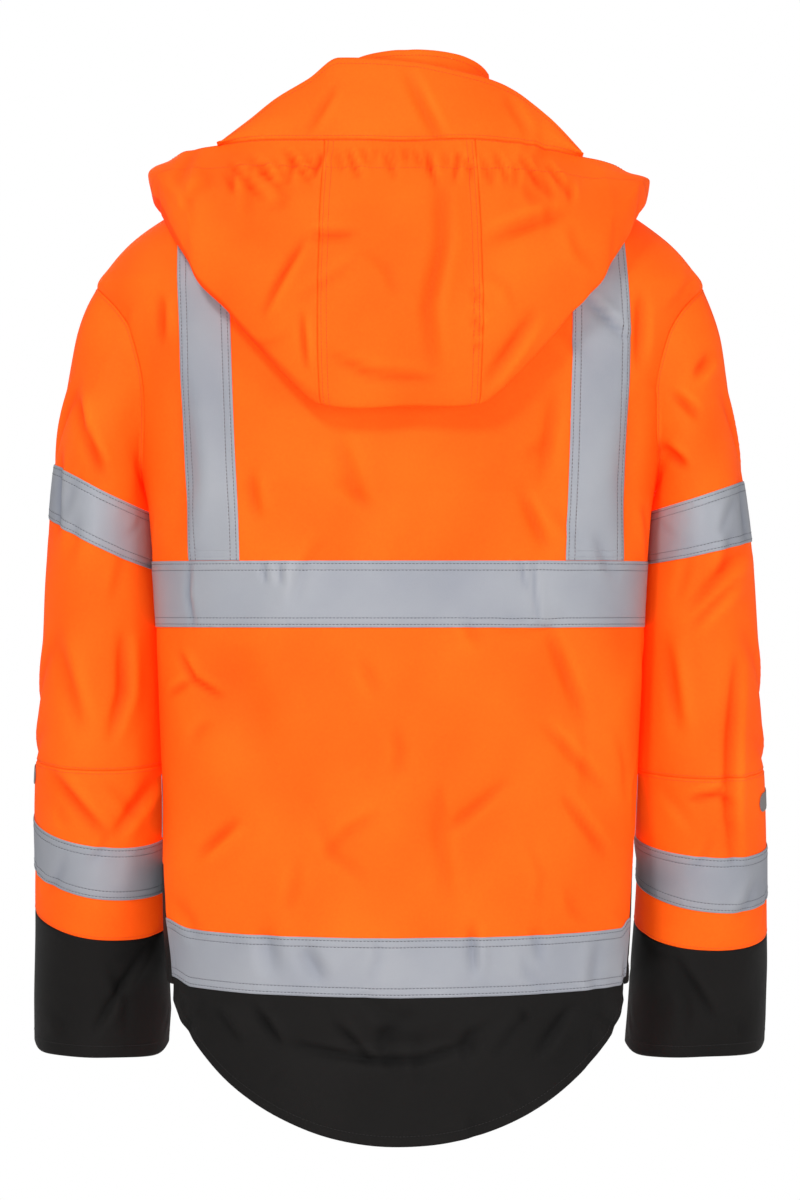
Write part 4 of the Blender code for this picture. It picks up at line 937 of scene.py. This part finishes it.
SLEEVE_SIDES = {
    "left": Table(SIDES, [
        (0, 0.2880, -0.1020, 0.2362, -0.3000, 0.00), (1, 0.2985, -0.1215, 0.2395, -0.2915, 0.00),
        (2, 0.3075, -0.1465, 0.2425, -0.2960, 0.00), (3, 0.3145, -0.1810, 0.2428, -0.3030, 0.00),
        (4, 0.3215, -0.2220, 0.2425, -0.3100, 0.00), (5, 0.3293, -0.2702, 0.2420, -0.3180, 0.00),
        (6, 0.3330, -0.2960, 0.2405, -0.3450, 0.01), (7, 0.3355, -0.3217, 0.2390, -0.3720, 0.02),
        (8, 0.3385, -0.3720, 0.2370, -0.4120, 0.03), (9, 0.3410, -0.4300, 0.2350, -0.4550, 0.05),
        (10, 0.3450, -0.4950, 0.2330, -0.5050, 0.08), (11, 0.3484, -0.5515, 0.2300, -0.5545, 0.11),
        (12, 0.3500, -0.5820, 0.2300, -0.5900, 0.19), (13, 0.3513, -0.6060, 0.2300, -0.6240, 0.26),
        (14, 0.3515, -0.6305, 0.2295, -0.6495, 0.26), (15, 0.3515, -0.6550, 0.2290, -0.6750, 0.27),
        (16, 0.3525, -0.6970, 0.2295, -0.7130, 0.28), (17, 0.3540, -0.7450, 0.2290, -0.7550, 0.18),
        (18, 0.3555, -0.7920, 0.2275, -0.7980, 0.08), (19, 0.3560, -0.8370, 0.2250, -0.8400, 0.00),
    ]),
    "right": Table(SIDES, [
        (0, 0.2880, -0.1020, 0.2362, -0.3000, 0.00), (1, 0.2965, -0.1225, 0.2395, -0.2915, 0.00),
        (2, 0.3045, -0.1490, 0.2425, -0.2960, 0.00), (3, 0.3105, -0.1850, 0.2428, -0.3030, 0.00),
        (4, 0.3175, -0.2300, 0.2425, -0.3095, 0.00), (5, 0.3275, -0.2864, 0.2425, -0.3165, 0.00),
        (6, 0.3320, -0.3150, 0.2415, -0.3420, 0.01), (7, 0.3355, -0.3437, 0.2400, -0.3660, 0.02),
        (8, 0.3395, -0.3880, 0.2375, -0.4060, 0.03), (9, 0.3425, -0.4420, 0.2350, -0.4520, 0.05),
        (10, 0.3455, -0.5020, 0.2330, -0.5050, 0.08), (11, 0.3484, -0.5600, 0.2300, -0.5600, 0.12),
        (12, 0.3505, -0.5970, 0.2300, -0.5930, 0.17), (13, 0.3520, -0.6340, 0.2300, -0.6260, 0.20),
        (14, 0.3530, -0.6590, 0.2305, -0.6480, 0.25), (15, 0.3540, -0.6835, 0.2285, -0.6700, 0.29),
        (16, 0.3550, -0.7200, 0.2265, -0.7120, 0.27), (17, 0.3560, -0.7580, 0.2235, -0.7550, 0.18),
        (18, 0.3560, -0.7975, 0.2210, -0.7980, 0.08), (19, 0.3550, -0.8370, 0.2190, -0.8400, 0.00),
    ]),
}
ELBOW_RING = 11
CUFF_RING = 16
UPPER_BAND = (5, 7)
LOWER_BAND = (13, 15)
LAST_RING = 19
RING_STEP = 0.132
RING_CLOSE = 0.045
HALF_RING = 96
ARMHOLE_TILT = 0.4
CUFF_CORNER = 0.009
CUFF_CORNER_POWER = 14
# How far the inner side lies over towards the body, by ring
SLEEVE_LEAN = {
    "left": ((1, 3, 5, 7, 12, 18, 19), (0.0, 0.004, 0.0065, 0.006, 0.0055, 0.005, 0.0)),
    "right": ((1, 3, 5, 7, 12, 14, 15), (0.0, 0.004, 0.0065, 0.006, 0.005, 0.002, 0.0)),
}
SLEEVE_CREASES = {
    "left": seen_from("back", [
        (0.0056, 0.0061, 0.0036, (0.306, -0.208), (0.298, -0.242)),
        (0.0056, 0.0061, 0.0036, (0.298, -0.240), (0.279, -0.280)),
        (0.0056, 0.0061, 0.0036, (0.260, -0.434), (0.260, -0.486), (0.272, -0.526)),
        (0.0056, 0.0058, 0.0036, (0.330, -0.564), (0.279, -0.622)),
        (0.0056, 0.0058, 0.0032, (0.232, -0.570), (0.268, -0.620)),
        (0.0040, 0.0043, 0.0025, (0.243, -0.733), (0.293, -0.812)),
        (0.0080, 0.0054, 0.0036, (0.325, -0.440), (0.300, -0.520)),
        # This crease down the outer side of the upper band also paints shade on it.
        (0.0036, 0.0040, 0.0014, (0.321, -0.258), (0.322, -0.336)),
    ]) + seen_from("left", [
        (0.0080, 0.0030, 0.0016, (0.045, -0.430), (-0.010, -0.500), (-0.060, -0.520)),
        (0.0080, 0.0030, 0.0016, (0.030, -0.520), (-0.030, -0.560), (-0.075, -0.560)),
        (0.0072, 0.0050, 0.0032, (0.040, -0.200), (0.000, -0.260), (-0.030, -0.300)),
        (0.0072, 0.0050, 0.0032, (-0.040, -0.640), (-0.085, -0.700)),
    ]) + seen_from("front", [
        (0.0080, 0.0068, 0.0040, (0.245, -0.500), (0.285, -0.548), (0.335, -0.556)),
        (0.0072, 0.0061, 0.0036, (0.240, -0.555), (0.285, -0.588), (0.330, -0.590)),
        (0.0080, 0.0054, 0.0032, (0.300, -0.230), (0.270, -0.310)),
        (0.0080, 0.0050, 0.0032, (0.320, -0.380), (0.290, -0.470)),
        (0.0072, 0.0047, 0.0029, (0.330, -0.690), (0.270, -0.770)),
    ]),
    "right": seen_from("back", [
        (0.0048, 0.0054, 0.0032, (-0.293, -0.170), (-0.277, -0.190)),
        (0.0048, 0.0054, 0.0032, (-0.255, -0.207), (-0.280, -0.228)),
        (0.0048, 0.0065, 0.0029, (-0.246, -0.256), (-0.266, -0.274)),
        (0.0064, 0.0058, 0.0040, (-0.325, -0.352), (-0.270, -0.408)),
        (0.0048, 0.0047, 0.0029, (-0.318, -0.380), (-0.275, -0.424)),
        (0.0056, 0.0061, 0.0040, (-0.317, -0.458), (-0.311, -0.530), (-0.310, -0.571), (-0.311, -0.606),
         (-0.317, -0.648)),
        (0.0040, 0.0043, 0.0029, (-0.272, -0.588), (-0.300, -0.582), (-0.312, -0.592)),
        (0.0064, 0.0047, 0.0032, (-0.250, -0.440), (-0.262, -0.520)),
        (0.0048, 0.0040, 0.0025, (-0.262, -0.742), (-0.300, -0.800)),
        # This crease down the outer side of the upper band also paints shade on it.
        (0.0036, 0.0034, 0.0012, (-0.322, -0.284), (-0.327, -0.346)),
    ]) + seen_from("right", [
        (0.0080, 0.0030, 0.0016, (0.045, -0.430), (-0.010, -0.495), (-0.060, -0.512)),
        (0.0080, 0.0030, 0.0016, (0.030, -0.530), (-0.030, -0.565), (-0.075, -0.562)),
        (0.0072, 0.0050, 0.0032, (0.035, -0.210), (-0.005, -0.270), (-0.030, -0.310)),
        (0.0072, 0.0050, 0.0032, (-0.045, -0.650), (-0.090, -0.700)),
    ]) + seen_from("front", [
        (0.0080, 0.0068, 0.0040, (-0.245, -0.510), (-0.285, -0.552), (-0.335, -0.558)),
        (0.0072, 0.0061, 0.0036, (-0.240, -0.560), (-0.285, -0.592), (-0.330, -0.596)),
        (0.0080, 0.0054, 0.0032, (-0.300, -0.225), (-0.272, -0.305)),
        (0.0080, 0.0050, 0.0032, (-0.322, -0.390), (-0.292, -0.465)),
        (0.0072, 0.0047, 0.0029, (-0.328, -0.700), (-0.272, -0.760)),
    ]),
}


def evenly(edge, count):
    """Points and directions of a cloth's edge, taken again at even distances."""
    run = run_of(edge.points)
    marks = np.linspace(0, run[-1], count)
    return [along_run(marks, run, values) for values in (edge.points, edge.normals)]


def sleeve_cloth(side):
    """The numbers of the rings, and the whole sleeve as a tube, from the armhole to the cuff's edge."""
    form, sign = SLEEVE_SIDES[side], 1 if side == "left" else -1
    behind = back.part(slice(back_armpit, None), -1 if side == "left" else 0)
    before = fronts[side].part(slice(front_armpit, None), -1)
    ring, ring_out = (np.concatenate([rear, face[-2:0:-1]])
                      for rear, face in zip(evenly(behind, HALF_RING), evenly(before, HALF_RING)))
    angles = np.radians(np.linspace(-90, 270, len(ring), endpoint=False))

    def plain(k):
        outer = np.array([form.read("outer_x", k), form.read("outer_z", k)])
        inner = np.array([form.read("inner_x", k), form.read("inner_z", k)])
        flat = (outer + inner) / 2 + (outer - inner) / 2 * np.sin(angles)[:, None]
        deep = SLEEVE.read("half_depth", k) * np.cos(angles)
        return np.stack([sign * flat[:, 0], SLEEVE.read("centre_y", k) + deep,
                         flat[:, 1] - form.read("sag", k) * deep], axis=-1)

    seams = (0, *UPPER_BAND, ELBOW_RING, *LOWER_BAND, CUFF_RING, LAST_RING)
    keys = sorted({*range(LAST_RING + 1)} - {6, 14})
    rings = spaced(keys, RING_STEP, seams, RING_CLOSE)
    rows = np.array([plain(k) + SLEEVE.read("share", k) * (ring - plain(0)) for k in rings])
    inward = np.clip(-np.sin(angles), 0, 1)[None, :] ** 2 * np.interp(rings, *SLEEVE_LEAN[side])[:, None]
    rows[..., 0] -= sign * inward
    corner = np.abs(np.sin(angles)) ** CUFF_CORNER_POWER
    rows[..., 2] += CUFF_CORNER * corner * smooth(LAST_RING - 1.0, LAST_RING, rings)[:, None]
    rows[0] = ring + unit(rows[1] - rows[0]) * GAP
    cloth = facing(rows, rows - rows.mean(axis=1, keepdims=True), closed=True)
    creases = SLEEVE_CREASES[side] + rumples(cloth, count=40, seed=21)
    cloth = relaxed(creased(cloth, creases), amount=0.0012, seed=21)
    cloth.points[0] = rows[0]
    cloth = cloth.renewed(closed=True)
    cloth.normals[0] = unit(ring_out + ARMHOLE_TILT * cloth.normals[1])
    return rings, cloth


sleeves = {}
for side in ("left", "right"):
    rings, sleeves[side] = sleeve_cloth(side)
    elbow, cuff = nearest(rings, ELBOW_RING), nearest(rings, CUFF_RING)
    upper, lower, end = (sleeves[side].part(slice(*rows))
                         for rows in ((0, elbow + 1), (elbow, cuff + 1), (cuff, None)))
    sew(f"{side}_sleeve_upper_cloth", upper, ORANGE, closed=True)
    sew(f"{side}_sleeve_lower_cloth", lower, ORANGE, closed=True)
    sew(f"{side}_cuff_cloth", end, BLACK, closed=True)
    rails = [piece.rail(edge, off, closed=True) for piece, off in ((upper, 0.0025), (lower, 0.003))
             for edge in ("low", "top")]
    stitched(f"{side}_sleeve_stitching", rails, ORANGE_THREAD)
    stitched(f"{side}_cuff_stitching", [end.rail("top", 0.012, closed=True)], BLACK_THREAD)
    for name, span in (("upper_band", UPPER_BAND), ("lower_band", LOWER_BAND)):
        band = sleeves[side].part(between(rings, *span))
        tape(f"{side}_{name}", band, TAPE_THREAD, ("low", "top"), closed=True)

# ================================================================ sleeve tabs
# A small plain patch lies on the outer side of each lower sleeve, with a rounded rear end.
TABS = {
    # top, low, rear, front
    "left": (-0.5565, -0.5740, 0.005, -0.050),
    "right": (-0.5795, -0.5970, 0.020, -0.050),
}
TAB_ROUND = 0.009
TAB_LEAST = 0.08
TAB_COLUMNS = 40
TAB_ROWS = 12
# The sleeve's columns that a tab may lie on, counted from the outermost
TAB_LOOK = (-40, 60)
PATCH = tape_finish("plain_patch", ((0.20, 0.185, 0.180, 1), (0.26, 0.240, 0.232, 1)))
for side, (tab_top, tab_low, tab_rear, tab_front) in TABS.items():
    sleeve = sleeves[side]
    outermost = HALF_RING - 1
    heights = sleeve.points[:, outermost, 2]
    rows = np.interp([-tab_low, -tab_top], -heights, np.arange(len(heights)))
    around = outermost + np.arange(*TAB_LOOK)
    depths = sleeve.points[int(round(rows.mean())), around, 1]
    reach = np.linspace(tab_rear, tab_front, TAB_COLUMNS)
    near_end = np.clip((tab_rear - reach) / TAB_ROUND, 0.0, 1.0)
    spread = np.sqrt(1 - (1 - near_end) ** 2).clip(TAB_LEAST)
    row = rows.mean() + np.linspace(-0.5, 0.5, TAB_ROWS)[:, None] * (rows[0] - rows[1]) * spread
    column = np.broadcast_to(np.interp(-reach, -depths, around), row.shape)
    i, j = np.floor(row).astype(int), np.floor(column).astype(int)
    down, over = (row - i)[..., None], (column - j)[..., None]
    points, normals = (lerp(lerp(grid[i, j], grid[i, j + 1], over),
                            lerp(grid[i + 1, j], grid[i + 1, j + 1], over), down)
                       for grid in (sleeve.points, sleeve.normals))
    tab = Cloth(points, unit(normals)).lifted(GAP + TAPE)
    sew(f"{side}_sleeve_tab", tab, PATCH, thick=TAPE, stands_for=())

# ================================================================ hood
# Thrown back, the hood hangs as a pocket from the neck seam: three panels, joined by two topstitched
# seams, lie down the back and come up again to the rim, where the stiff visor stands on a channel
# that gathers the cloth.
HOOD = Table("way neck_turn fold_turn fold_z rim_x rim_y rim_z swell fold_gap", [
    (0.00, 0.0, 0.0, -0.2130, 0.0000, 0.100, +0.0275, 0.036, 0.022),
    (0.12, 14.0, 8.2, -0.2135, 0.0360, 0.099, +0.0280, 0.036, 0.022),
    (0.24, 26.0, 16.2, -0.2110, 0.0700, 0.095, +0.0285, 0.034, 0.022),
    (0.36, 36.0, 23.2, -0.1880, 0.1030, 0.086, +0.0290, 0.032, 0.021),
    (0.50, 47.0, 30.6, -0.1500, 0.1360, 0.074, +0.0300, 0.030, 0.020),
    (0.65, 58.0, 36.5, -0.1140, 0.1720, 0.058, +0.0275, 0.024, 0.019),
    (0.80, 70.0, 47.0, -0.0740, 0.2000, 0.044, +0.0235, 0.016, 0.018),
    (0.92, 81.0, 66.0, -0.0430, 0.2210, 0.031, +0.0125, 0.013, 0.017),
    (1.00, 90.0, 90.0, -0.0330, 0.2330, 0.014, +0.0030, 0.0095, 0.016),
    (1.15, 106.0, 116.0, -0.0350, 0.2120, -0.034, +0.0010, 0.009, 0.015),
    (1.30, 124.0, 134.0, -0.0340, 0.1560, -0.074, +0.0010, 0.007, 0.013),
    (1.45, 141.0, 147.0, -0.0340, 0.0980, -0.094, -0.0020, 0.006, 0.011),
    (1.60, 158.0, 160.0, -0.0400, 0.0450, -0.105, -0.0180, 0.003, 0.009),
])
HOOD_RIGHT_DROP = 0.013
HOOD_RIGHT_PULL = 0.008
HOOD_TIP_DROP = 0.90
HOOD_TIP_FILL = 0.006
HOOD_LIFTS = (0.0040, 0.0124, 0.0132, 0.0082)
HOOD_SEAM_DROP = 0.008
HOOD_CENTRE_WAY = 0.24
HOOD_VISOR_WAY = 0.65
HOOD_CELL = 0.0105
HOOD_STEP = 0.082
# Steps count along the key points: 3 is the bottom of the inner layer, 4 the fold, 8 the rim.
SHOWN_STEP = 4.2
OUTSIDE_STEPS = (3.6, 4.6)
# Painted shade on the hood's left side, up to just past the fold where the cloth turns under.
FOLD_SHADE = 0.9
FOLD_SHADE_STEPS = (4.9, 5.1)
FOLD_SHADE_WAYS = (0.15, 0.40)
HOOD_CREASES = seen_from("back", [
    (0.0072, 0.0054, 0.0036, (-0.0375, -0.016), (-0.0375, -0.074), (-0.025, -0.134), (-0.031, -0.188)),
    (0.0048, 0.0043, 0.0025, (0.083, -0.066), (0.043, -0.066)),
    (0.0040, 0.0047, 0.0029, (0.090, -0.070), (0.126, -0.138)),
    (0.0064, 0.0054, 0.0036, (-0.083, -0.070), (-0.153, -0.041)),
    (0.0056, 0.0047, 0.0040, (-0.1235, -0.138), (-0.080, -0.200)),
    (0.0032, 0.0036, 0.0022, (0.090, -0.140), (0.086, -0.188)),
    (0.0048, 0.0036, 0.0025, (0.061, -0.178), (0.028, -0.194), (-0.031, -0.199)),
    (0.0260, 0.0050, 0.0020, (0.165, -0.022), (0.130, -0.050), (0.078, -0.085)),
    (0.0040, 0.0029, 0.0022, (-0.066, -0.118), (-0.074, -0.130)),
    (0.0040, 0.0029, 0.0022, (-0.066, -0.142), (-0.076, -0.156)),
    (0.0040, 0.0025, 0.0018, (-0.066, -0.164), (-0.074, -0.172)),
])
CHANNEL_GATHERS = seen_from("back", [
    (0.0032, 0.0029, 0.0022, (0.140, +0.012), (0.108, -0.024)),
    (0.0032, 0.0029, 0.0022, (0.160, +0.008), (0.126, -0.030)),
    (0.0029, 0.0032, 0.0022, (0.107, +0.018), (0.082, -0.016)),
    (0.0027, 0.0025, 0.0018, (0.072, +0.014), (0.080, -0.010)),
    (0.0029, 0.0025, 0.0018, (0.048, +0.016), (0.036, -0.012)),
    (0.0027, 0.0025, 0.0018, (0.016, +0.016), (0.004, -0.010)),
    (0.0029, 0.0029, 0.0018, (-0.022, +0.018), (-0.034, -0.018)),
    (0.0027, 0.0029, 0.0018, (-0.054, +0.014), (-0.050, -0.014)),
    (0.0029, 0.0029, 0.0022, (-0.088, +0.014), (-0.100, -0.014)),
    (0.0029, 0.0025, 0.0018, (-0.112, +0.010), (-0.130, -0.012)),
    (0.0029, 0.0025, 0.0018, (-0.136, +0.006), (-0.150, -0.014)),
])


def pleats(count, seed):
    """Fine short pleats between the two stitched lines of the channel."""
    dice = np.random.default_rng(seed)
    made = []
    for x in np.linspace(0.165, -0.155, count) + dice.uniform(-0.004, 0.004, count):
        top = 0.020 - 0.45 * abs(x) ** 1.7 - (0.010 if x < 0 else 0.0) * abs(x) / 0.15
        low = top - dice.uniform(0.014, 0.030)
        size = dice.uniform(0.5, 1.0)
        made.append(("back", 0.0024 + 0.0010 * size, 0.0026 * size, 0.0020 * size,
                     (x, top), (x - dice.uniform(-0.004, 0.016), low)))
    return made


def hood_keys(way):
    """Key points of the hood at one place round the neck, from the neck seam to the rim."""
    sign = -1 if way < 0 else 1
    values = {name: float(HOOD.read(name, abs(way))) for name in HOOD.names[1:]}
    face = 1 if values["neck_turn"] <= 90 else -1
    reach = NECK_X * np.sin(np.radians(values["neck_turn"]))
    neck_height = float(top_height(np.array([reach]), face)[0]) - HOOD_SEAM_DROP
    keys = []
    for k, lift in enumerate(HOOD_LIFTS):
        turn = sign * lerp(values["neck_turn"], values["fold_turn"], k / 3)
        height = lerp(neck_height, values["fold_z"], k / 3)
        keys.append(body_point(turn, height) + body_normal(turn, height) * lift)
    right = 1.0 if way < 0 else 0.0
    tip = right * smooth(0.85, 1.05, abs(way))
    drop = right * HOOD_RIGHT_DROP * smooth(0.2, 0.8, abs(way)) * lerp(1.0, HOOD_TIP_DROP, tip)
    rim = np.array([sign * (values["rim_x"] - HOOD_RIGHT_PULL * tip), values["rim_y"],
                    values["rim_z"] - drop])
    out = body_normal(sign * values["fold_turn"], values["fold_z"])
    gap = values["fold_gap"]
    keys.append(keys[3] + unit(keys[3] - keys[2]) * gap * 0.45 + out * gap * 0.5)
    level = smooth(0.82, 1.0, abs(way)) * (1 - smooth(1.0, 1.25, abs(way)))
    top = keys[3] + out * gap + unit(out * (1.0, 1.0, 0.0)) * (HOOD_TIP_FILL * level)
    up_and_out = unit(out + (0.0, 0.0, 0.15))
    swells = [lerp(top, rim, share) + up_and_out * values["swell"] * part
              for share, part in ((1 / 3, 1.0), (2 / 3, 0.85))]
    return np.array([*keys, top, *swells, rim])


def along_keys(keys, at):
    """Smooth curve through the key points; at counts in points."""
    k = np.clip(np.floor(at).astype(int), 0, len(keys) - 2)
    t = (at - k)[:, None]
    a, b, c, d = (keys[np.clip(k + shift, 0, len(keys) - 1)] for shift in (-1, 0, 1, 2))
    return 0.5 * (2 * b + (c - a) * t + (2 * a - 5 * b + 4 * c - d) * t ** 2
                  + (3 * b - a - 3 * c + d) * t ** 3)


one_side = spaced([0, HOOD_CENTRE_WAY, HOOD_VISOR_WAY, 1.0, 1.6], HOOD_CELL, (HOOD_CENTRE_WAY,), 0.006)
ways = np.array(sorted(set(-one_side) | set(one_side)))
hood_steps = spaced([0, 3, 4, 5, 6, 7, 8], HOOD_STEP, (0, 8), 0.03)
hood_points = np.stack([along_keys(hood_keys(way), hood_steps) for way in ways], axis=1)
behind = np.array([0.0, 1.0, 0.0])
hood = facing(hood_points, behind * (hood_steps > 6)[:, None, None])
creases = HOOD_CREASES + CHANNEL_GATHERS + pleats(count=26, seed=8) + rumples(hood, count=40, seed=30)
folded = relaxed(creased(hood, creases), amount=0.0010, seed=31)
outside = smooth(*OUTSIDE_STEPS, hood_steps)[:, None, None]
# The left side's painted shade along the hood's lower edge.
under_edge_shade = FOLD_SHADE * (1 - smooth(*FOLD_SHADE_STEPS, hood_steps[:, None])) * smooth(*FOLD_SHADE_WAYS, ways)
hood = Cloth(lerp(hood.points, folded.points, outside), hood.normals, folded.crease_shade + under_edge_shade)
hood_edge = hood.points[-1] - hood.points[-2]
hood = hood.renewed()
centre = between(ways, -HOOD_CENTRE_WAY, HOOD_CENTRE_WAY)
hood_rails = []
for name, columns in (("hood_right_side", slice(centre.start + 1)), ("hood_centre", centre),
                      ("hood_left_side", slice(centre.stop - 1, None))):
    panel = hood.part(columns=columns)
    sew(name + "_cloth", panel, ORANGE)
    if name == "hood_centre":
        shown = panel.part(slice(nearest(hood_steps, SHOWN_STEP), None))
        hood_rails += [shown.rail(side, off) for side in ("first", "last") for off in (0.0035, 0.0085)]
    hood_rails += [panel.rail("top", off) for off in (0.002, 0.036)]
stitched("hood_stitching", hood_rails, ORANGE_THREAD)

# The visor stands on the rim's middle stretch. Its top is never less than this above the rim.
VISOR_LEAST = 0.0014
VISOR_TOP = Table("x top_y top_z", [
    (-0.1765, 0.058, 0.0150), (-0.1400, 0.058, 0.0538), (-0.0950, 0.064, 0.0847),
    (-0.0620, 0.070, 0.0941), (-0.0050, 0.073, 0.1049), (+0.0572, 0.070, 0.1080),
    (+0.0860, 0.064, 0.0890), (+0.1180, 0.058, 0.0706), (+0.1440, 0.056, 0.0500),
    (+0.1725, 0.058, 0.0275),
])
VISOR_BULGE = 0.006
VISOR_ROWS = 28
VISOR_CREASES = seen_from("back", [
    (0.0056, 0.0040, 0.0029, (-0.006, 0.092), (-0.022, 0.056), (-0.038, 0.024)),
    (0.0048, 0.0025, 0.0018, (0.060, 0.080), (0.086, 0.036)),
    (0.0048, 0.0022, 0.0018, (-0.100, 0.070), (-0.118, 0.036)),
])
columns = np.abs(ways) <= HOOD_VISOR_WAY + 1e-6
base = hood.points[-1, columns]
top_y, top_z = (VISOR_TOP.read(name, base[:, 0]) for name in ("top_y", "top_z"))
top = np.stack([base[:, 0], top_y, np.maximum(top_z, base[:, 2] + VISOR_LEAST)], axis=-1)
share = np.linspace(0, 1, VISOR_ROWS)[:, None, None]
visor_points = lerp(base[None], top[None], share) + unit(hood_edge[columns]) * GAP
visor_points[..., 1] += VISOR_BULGE * np.sin(np.pi * share[..., 0])
visor = facing(visor_points, behind)
visor = relaxed(creased(visor, VISOR_CREASES), amount=0.0004, seed=40).renewed()
visor.normals[0] = hood.normals[-1, columns]
sew("hood_visor_cloth", visor, ORANGE)
stitched("hood_visor_stitching", [visor.rail("top", 0.0075, 0.006), visor.rail("low", 0.003, 0.004)],
         ORANGE_THREAD)

# ================================================================ studio
# A pale floor under the jacket, soft light from large panels, and a level camera behind the wearer.
CAMERA_Y = 3.6
CAMERA_Z = -0.4
METRES_PER_PIXEL = 0.00092
PICTURE_HEIGHT = 1200
SENSOR = 36
BACK_PLANE_Y = 0.13
FLOOR_Z = -1.45
AMBIENT = 0.46
FLOOR_RADIUS = 2.9
WHITE = (1, 1, 1, 1)
bpy.ops.mesh.primitive_circle_add(vertices=128, radius=FLOOR_RADIUS, fill_type="NGON",
                                  location=(0, 0, FLOOR_Z))
floor = bpy.context.object
floor.name = "floor"
pale, shader, _ = material("pale_floor")
settle(shader, {"Base Color": (0.86, 0.86, 0.86, 1), "Roughness": 0.9})
floor.data.materials.append(pale)

# The world lights the cloth softly and looks plain white itself.
world = bpy.data.worlds.new("studio")
world.use_nodes = True
start = Signal(world.node_tree)
sky = world.node_tree.nodes["Background"]
settle(sky, {"Color": WHITE, "Strength": AMBIENT})
chosen = start.node("MixShader", inputs={0: start.node("LightPath"), 1: Signal(start.tree, sky.outputs[0]),
                                         2: start.node("Background", inputs={"Color": WHITE})})
chosen.feed(world.node_tree.nodes["World Output"], "Surface")
bpy.context.scene.world = world
bpy.context.scene.view_settings.view_transform = "Standard"


def lamp(name, place, aim, size, power):
    light = bpy.data.lights.new(name, "AREA")
    light.shape = "RECTANGLE"
    light.size, light.size_y = size
    light.energy = power
    made = bpy.data.objects.new(name, light)
    bpy.context.collection.objects.link(made)
    made.location = place
    made.rotation_euler = (Vector(aim) - Vector(place)).to_track_quat("-Z", "Y").to_euler()


lamp("key_panel", (0.9, 2.1, 1.4), (0, 0, -0.5), (0.5, 0.5), 36)
lamp("side_panel", (-1.8, 1.8, -0.2), (0, 0, -0.6), (0.5, 0.8), 13)
lamp("camera_panel", (0.3, 3.4, -1.0), (0, 0, -0.9), (0.8, 0.8), 26)
lamp("front_panel", (0.4, -3.2, 0.9), (0, 0, -0.4), (2.0, 2.0), 30)

camera_data = bpy.data.cameras.new("camera")
camera_data.sensor_width = SENSOR
camera_data.lens = SENSOR * (CAMERA_Y - BACK_PLANE_Y) / (PICTURE_HEIGHT * METRES_PER_PIXEL)
camera = bpy.data.objects.new("camera", camera_data)
bpy.context.collection.objects.link(camera)
camera.location = (0, CAMERA_Y, CAMERA_Z)
camera.rotation_euler = (np.pi / 2, 0, np.pi)
bpy.context.scene.camera = camera
